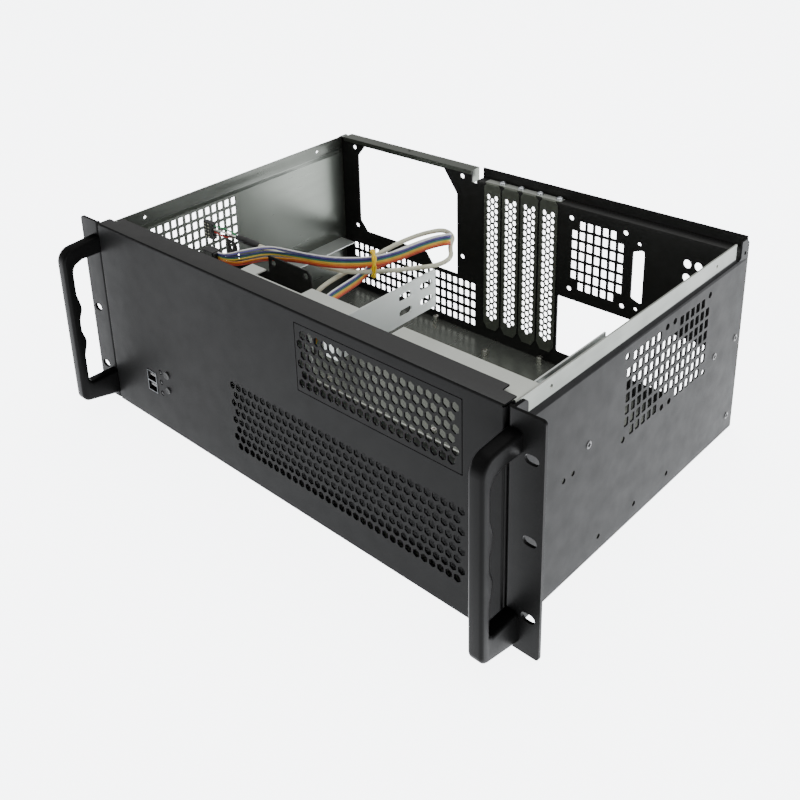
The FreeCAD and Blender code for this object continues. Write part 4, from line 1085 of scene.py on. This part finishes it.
def makeCover(index, centre, values):
    # a strip with a narrow foot and three staggered columns of hexagons, its tab folded back
    node = "slot_cover_" + str(index + 1)
    low, high = nodeBox(node)
    base, neck, ear = pick(values, "foot neck ear")
    half, narrow = values["width"] / 2, values["footWidth"] / 2
    section = BentLine([(low[1], base), (low[1], high[2]), (high[1], high[2])], 1.2, -1, 4)
    end, shoulder = section.length, values["shoulder"] - base
    neckFrom, neckIn, neckOut, earRight, earLeft = end - np.array(values["cuts"])
    outline = np.array([(-narrow, 0), (narrow, 0), (half, shoulder), (half, neckFrom), (half - neck, neckIn),
                        (half - neck, neckOut), (half + ear, earRight), (half + ear, end), (-half, end),
                        (-half, earLeft), (neck - half, neckIn), (-half, neckFrom), (-half, shoulder)])
    outline[:, 0] += centre
    holes = []
    for k, column in enumerate(values["columns"]):
        z = values["firstRow"] + values["rowPitch"] * (np.arange(values["rows"]) - 0.5 * (k % 2)) - base
        holes += ring(np.stack([np.full_like(z, centre + column), z], 1), *values["hole"], 6)
    blank = cutBlank(outline, holes, section.bendLines(centre - 40, centre + 40)[:, :, ::-1])

    def fold(u, v, depth):
        return np.stack([u, *section.at(v, depth)], 1)

    # the face in the dark zinc copy is painted shade; the tab in the lighter flange zinc is painted light,
    # and the back takes the same lighter zinc
    part = foldedSheet(blank, fold, values["sheet"], lambda u, v: v > end - values["tab"])
    meshPiece("slotCover" + str(index + 1), node, [part], [shadedCoverZinc, flangeZinc, edgeZincAndHighlight])


makeRearPanel(rearShape)
for index, centre in enumerate(rearShape["slots"]):
    makeCover(index, centre, coverShape)
print("rear made")


# ears and handles

earShape = {
    "sheet": 2.5,
    "half": 215.0,
    "outer": 241.3,
    "height": 177.0,
    "leg": 18.0,
    "legTop": 174.6,
    "slotX": 232.55,
    "slots": (29.75, 88.5, 147.25),
    "slot": (10.3, 6.8),
    "corner": 3.0,
    "bend": 3.2,
    "softEdge": 0.35,
}


def makeEar(side, name, node, values):
    # an angle: u is the length along the section from the leg's end, v is Z
    half, outer, leg, height, legTop, corner = pick(values, "half outer leg height legTop corner")
    section = BentLine([(half, leg), (half, 0), (outer, 0)], values["bend"], 1)
    end, bendStart = section.length, leg - values["bend"]
    corners = [(0, 0), (end, 0), (end, height), (bendStart, height), (bendStart, legTop), (0, legTop)]
    outline = roundedLoop(corners, [2, corner, corner, 0, 0, 4], 6)
    u = end - (outer - values["slotX"])
    holes = [obround((u, z), *values["slot"]) for z in values["slots"]]
    blank = cutBlank(outline, holes, section.bendLines(-20, height + 20))

    def fold(u, v, depth):
        x, y = section.at(u, depth)
        return np.stack([side * x, y, v], 1)

    ear = meshPiece(name, node, [foldedSheet(blank, fold, values["sheet"])], [earPaint] * 3)
    softenEdges(ear, values["softEdge"], 2, 50)


handleShape = {
    "foot": 5.0,
    "height": 159.0,
    "reach": 38.0,
    "draft": (8.0, 3.0),  # below, above
    "leg": (24.0, 16.0),
    "bar": 9.0,
    "ridge": 3.2,
    "corners": (8.0, 13.0),
    "hollowCorners": (3.5, 10.0),
    "stops": (0.355, 0.626),
    "edge": 2.6,
    "ridgeReach": 12.0,  # past the two middle stops
}


def roundedBar(loop, low, high, radius, steps=5):
    # a loop in Y and Z carried along X with rounded long edges: at the angle t from the end the
    # loop is inset by radius (1 - sin t) and stands radius (1 - cos t) from the end
    if signedArea(loop) < 0:
        loop = loop[::-1]
    along = unit(np.roll(loop, -1, 0) - loop)
    out = np.stack([along[:, 1], -along[:, 0]], 1)
    mean = out + np.roll(out, 1, 0)
    mean /= np.maximum(np.sum(mean * out, 1), 0.5)[:, None]
    mean[np.abs(loop[:, 0]) < 0.01, 0] = 0
    t = np.linspace(0, np.pi / 2, steps + 1)
    inset = radius * (1 - np.sin(t))
    inset = np.concatenate([inset, inset[::-1]])
    x = np.concatenate([low + radius * (1 - np.cos(t)), high - radius * (1 - np.cos(t[::-1]))])
    flat = loop[None] - inset[:, None, None] * mean[None]
    return loft(np.concatenate([np.broadcast_to(x[:, None, None], (*flat.shape[:2], 1)), flat], 2))


def makeHandle(name, node, values):
    # outline in Y and Z: two legs, rounded outer corners, and three finger hollows with soft ridges,
    # ridge * cos(pi t) ^ 4 between stops; round corners where the hollows meet the legs
    low, high = nodeBox(node)
    foot, front = values["foot"], -values["reach"]
    top = foot + values["height"]
    inLow, inHigh = foot + values["leg"][0], top - values["leg"][1]
    bay = front + values["bar"]
    lowDraft, highDraft = values["draft"]
    corners = [(0, foot), (front, foot + lowDraft), (front, top - highDraft), (0, top)]
    outer = roundedLoop(corners, [0, *values["corners"], 0], 9)
    stops = inLow + np.array([0, *values["stops"], 1]) * (inHigh - inLow)
    z = np.unique(np.concatenate([np.linspace(a, b, 17) for a, b in zip(stops[:-1], stops[1:])]))
    t = np.interp(z, stops, np.arange(4.0)) % 1
    ridged = (z > stops[1] - values["ridgeReach"]) & (z < stops[2] + values["ridgeReach"])
    y = bay + values["ridge"] * np.cos(np.pi * t) ** 4 * ridged
    for end, sign, radius in zip((inLow, inHigh), (1, -1), values["hollowCorners"]):
        into = np.clip(radius - sign * (z - end), 0, radius)
        y = np.maximum(y, bay + radius - np.sqrt(radius ** 2 - into ** 2))
    inner = [(0, inHigh), *zip(y[::-1].tolist(), z[::-1].tolist()), (0, inLow)]
    part = roundedBar(np.concatenate([outer, inner]), low[0], high[0], values["edge"])
    meshPiece(name, node, [part], [handlePaint], 50)


makeEar(-1, "earLeft", "ear_left", earShape)
makeEar(1, "earRight", "ear_right", earShape)
makeHandle("gripLeft", "handle_left", handleShape)
makeHandle("gripRight", "handle_right", handleShape)
print("ears and handles made")


# screws, posts and controls

headProfile = {
    "radii": (1.0, 1.0, 0.93, 0.8, 0.62, 0.5, 0.36, 0.2, 0.08),  # shares of the head's radius
    "rise": (0.0, 0.45, 0.75, 0.92, 0.99, 1.0, 1.0, 1.0, 1.0),  # shares of its height
    "slotDepth": 0.9,
    "slotWidth": 0.16,
    "slotReach": 0.55,
}


def screwPart(centre, axis, radius, height, values):
    # pan head: a low dome with a cross recess where |x| or |y| is small near the middle
    def recess(radii, t):
        x = radii[:, None] * np.cos(t)[None]
        y = radii[:, None] * np.sin(t)[None]
        inCross = np.minimum(np.abs(x), np.abs(y)) < values["slotWidth"] * radius
        return -values["slotDepth"] * (inCross & (radii[:, None] < values["slotReach"] * radius))

    radii, heights = radius * np.array(values["radii"]), np.array(values["rise"]) * height
    return turned(centre, axis, radii, heights, 24, recess)


def islands(node):
    # the boxes of a group node's separate solids, in mm: vertices joined by triangles share the
    # lowest label that reaches them
    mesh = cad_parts[node].data
    points = meshPoints(mesh)
    edges = np.empty(len(mesh.edges) * 2, int)
    mesh.edges.foreach_get("vertices", edges)
    a, b = edges.reshape(-1, 2).T
    rounded = np.unique(np.round(points, 3), axis=0, return_inverse=True)[1].ravel()
    label = rounded.copy()
    for _ in range(60):
        low = np.minimum(label[a], label[b])
        np.minimum.at(label, a, low)
        np.minimum.at(label, b, low)
        best = np.full(rounded.max() + 1, label.max() + 1)
        np.minimum.at(best, rounded, label)
        label = best[rounded]
    return [(points[label == one].min(0), points[label == one].max(0)) for one in np.unique(label)]


def headsFrom(name, node, axisIndex, radius, height, material, signed=False):
    # one detailed head for each plain head of a node, standing on the same face
    parts = []
    for low, high in islands(node):
        centre = (low + high) / 2
        axis = np.zeros(3)
        axis[axisIndex] = -1 if signed and centre[0] < 0 else 1
        centre[axisIndex] = low[axisIndex] if axis[axisIndex] > 0 else high[axisIndex]
        parts.append(screwPart(centre, axis, radius, height, headProfile))
    meshPiece(name, node, parts, [material], 35)


headsFrom("wallScrews", "case_screws", 0, 2.9, 0.5, blackScrew, True)
headsFrom("earScrews", "ear_screws", 0, 2.9, 0.5, blackScrew, True)
headsFrom("handleScrews", "handle_screws", 1, 3.1, 2.0, screwZinc)
headsFrom("coverScrews", "slot_screws", 2, 3.1, 2.0, screwZinc)


postShape = {
    "flats": 5.0,  # over the flats
    "hole": (1.5, 1.4, 3.0),  # radius above, radius below, depth
    "chamfer": (0.9, 0.4),  # share of the radius left at the top, and height
}


def makePosts(values):
    # hexagonal posts with a chamfered top and a threaded hole
    parts = []
    radius = values["flats"] / math.sqrt(3)
    mouth, root, depth = values["hole"]
    share, chamfer = values["chamfer"]
    for low, high in islands("standoffs"):
        x, y = (low + high)[:2] / 2
        tall = high[2] - low[2]
        radii = [radius, radius, radius * share, mouth, root]
        heights = [0, tall - chamfer, tall, tall, tall - depth]
        parts.append(turned((x, y, low[2]), (0, 0, 1), radii, heights, 6))
    meshPiece("boardPosts", "standoffs", parts, [nickelledSteel], 20)


capShape = {
    "solidCollar": 1.0,  # of the eight sided solid that the cap stands for
    "collar": (0.9, 0.8),  # how much wider than the cap, and how high
    "edge": [(0.05, 0.3), (0.25, 0.08), (0.7, 0.0)],  # in from the cap's radius, down from its front
    "dish": (0.15, 0.25),  # down at half the radius, down at the middle
    "sides": 28,
}


def makeButton(name, node, body, values):
    # a round cap with a soft edge and a shallow dish, on a wider collar
    low, high = nodeBox(node)
    radius = (high[0] - low[0]) / 2 / math.cos(math.pi / 8) - values["solidCollar"]
    tall = high[1] - low[1]
    (wide, step), dish, sides = pick(values, "collar dish sides")
    inset, drop = np.array(values["edge"]).T
    radii = [radius + wide, radius + wide, radius - inset[0], *(radius - inset), radius * 0.5, 0.2]
    heights = [0, step, step, *(tall - drop), tall - dish[0], tall - dish[1]]
    centre = ((low[0] + high[0]) / 2, high[1], (low[2] + high[2]) / 2)
    points, faces, indices = turned(centre, (0, -1, 0), radii, heights, sides)
    indices[sides * 4:sides * 7] = 1
    indices[-1] = 1
    meshPiece(name, node, [(points, faces, indices)], [blackPlastic, capPlastic], 35, body)


lampShape = {
    "radius": 1.85,
    "dome": (0.9, 0.85),  # from where to the front, and how far it rises
    "tip": (0.15, 0.03),  # radius, and distance from the front
}


def makeLamps(values):
    # three lenses, domed at the front: radius cos t and rise sin t
    parts = []
    radius, (domeFrom, rise), (tip, tipGap) = pick(values, "radius dome tip")
    for low, high in islands("led_lenses"):
        centre, length = (low + high) / 2, high[1] - low[1]
        t = np.linspace(0, np.pi / 2, 6)[:-1]
        radii = np.concatenate([[radius], radius * np.cos(t), [tip]])
        heights = np.concatenate([[0], length - domeFrom + rise * np.sin(t), [length - tipGap]])
        parts.append(turned((centre[0], high[1], centre[2]), (0, -1, 0), radii, heights, 20))
    meshPiece("lampLenses", "led_lenses", parts, [lampPlastic], 40)


portShape = {
    "wall": 0.6,
    "mouthCorner": 0.5,
    "backing": (0.5, 0.6),  # in from the sides, and thickness
    "tongue": [(2.6, 1.6, -0.3), (2.6, 0.5, 1.9)],  # two corners: in from side and end, and above the middle
}


def makePorts(values):
    # two stacked sockets: a folded tinned shell with two mouths, black tongues inside; the tin is drawn dark
    # grey and the mouths' inner walls black, painted shade in the socket openings
    low, high = nodeBox("usb_ports")
    wall, (side, thick), (first, last) = pick(values, "wall backing tongue")
    middle = (low[2] + high[2]) / 2
    floors = [(low[2], middle), (middle, high[2])]
    outline = rectangle(low[0], low[2], high[0], high[2])
    mouths = [roundedLoop(rectangle(low[0], bottom, high[0], top, wall), values["mouthCorner"])
              for bottom, top in floors]
    points, faces, indices = foldedSheet(cutBlank(outline, mouths), facingY(low[1]), high[1] - low[1] - side)
    firstRim = np.argmax(indices == 2)
    # the mouths' inner walls in black plastic: painted shade inside the sockets
    indices = (np.arange(len(faces)) >= firstRim + 4).astype(int)
    backLow, backHigh = low + [side, 0, side], high - [side, 0, side]
    backLow[1] = high[1] - thick
    parts = [(points, faces, indices), boxPart(backLow, backHigh, 1)]
    for bottom, top in floors:
        z = (bottom + top) / 2
        tongueLow = (low[0] + first[0], low[1] + first[1], z + first[2])
        tongueHigh = (high[0] - last[0], high[1] - last[1], z + last[2])
        parts.append(boxPart(tongueLow, tongueHigh, 1))
    meshPiece("stackedSockets", "usb_ports", parts, [shadedShellMetal, blackPlastic])


makePosts(postShape)
makeButton("powerCap", "power_button", "power_key", capShape)
makeButton("resetCap", "reset_button", "reset_key", capShape)
makeLamps(lampShape)
makePorts(portShape)
print("controls made")


# finishes on the solids that keep their own shape

finishes = {
    # the drive cage takes the black inside coat: painted shade, as its front plate stands in shadow
    "front_frame": flangeZinc, "rear_top_rail": railZinc, "drive_cage": innerBlack,
    "drive_bracket": plateZinc, "drive_rail": plateZinc, "psu_shelf": plateZinc,
    "dust_filter": foam, "io_board": board, "switch_bodies": blackPlastic, "lead_header": blackPlastic,
}
for node, material in finishes.items():
    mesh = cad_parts[node].data
    mesh.materials.clear()
    mesh.materials.append(material)
print("finishes set")
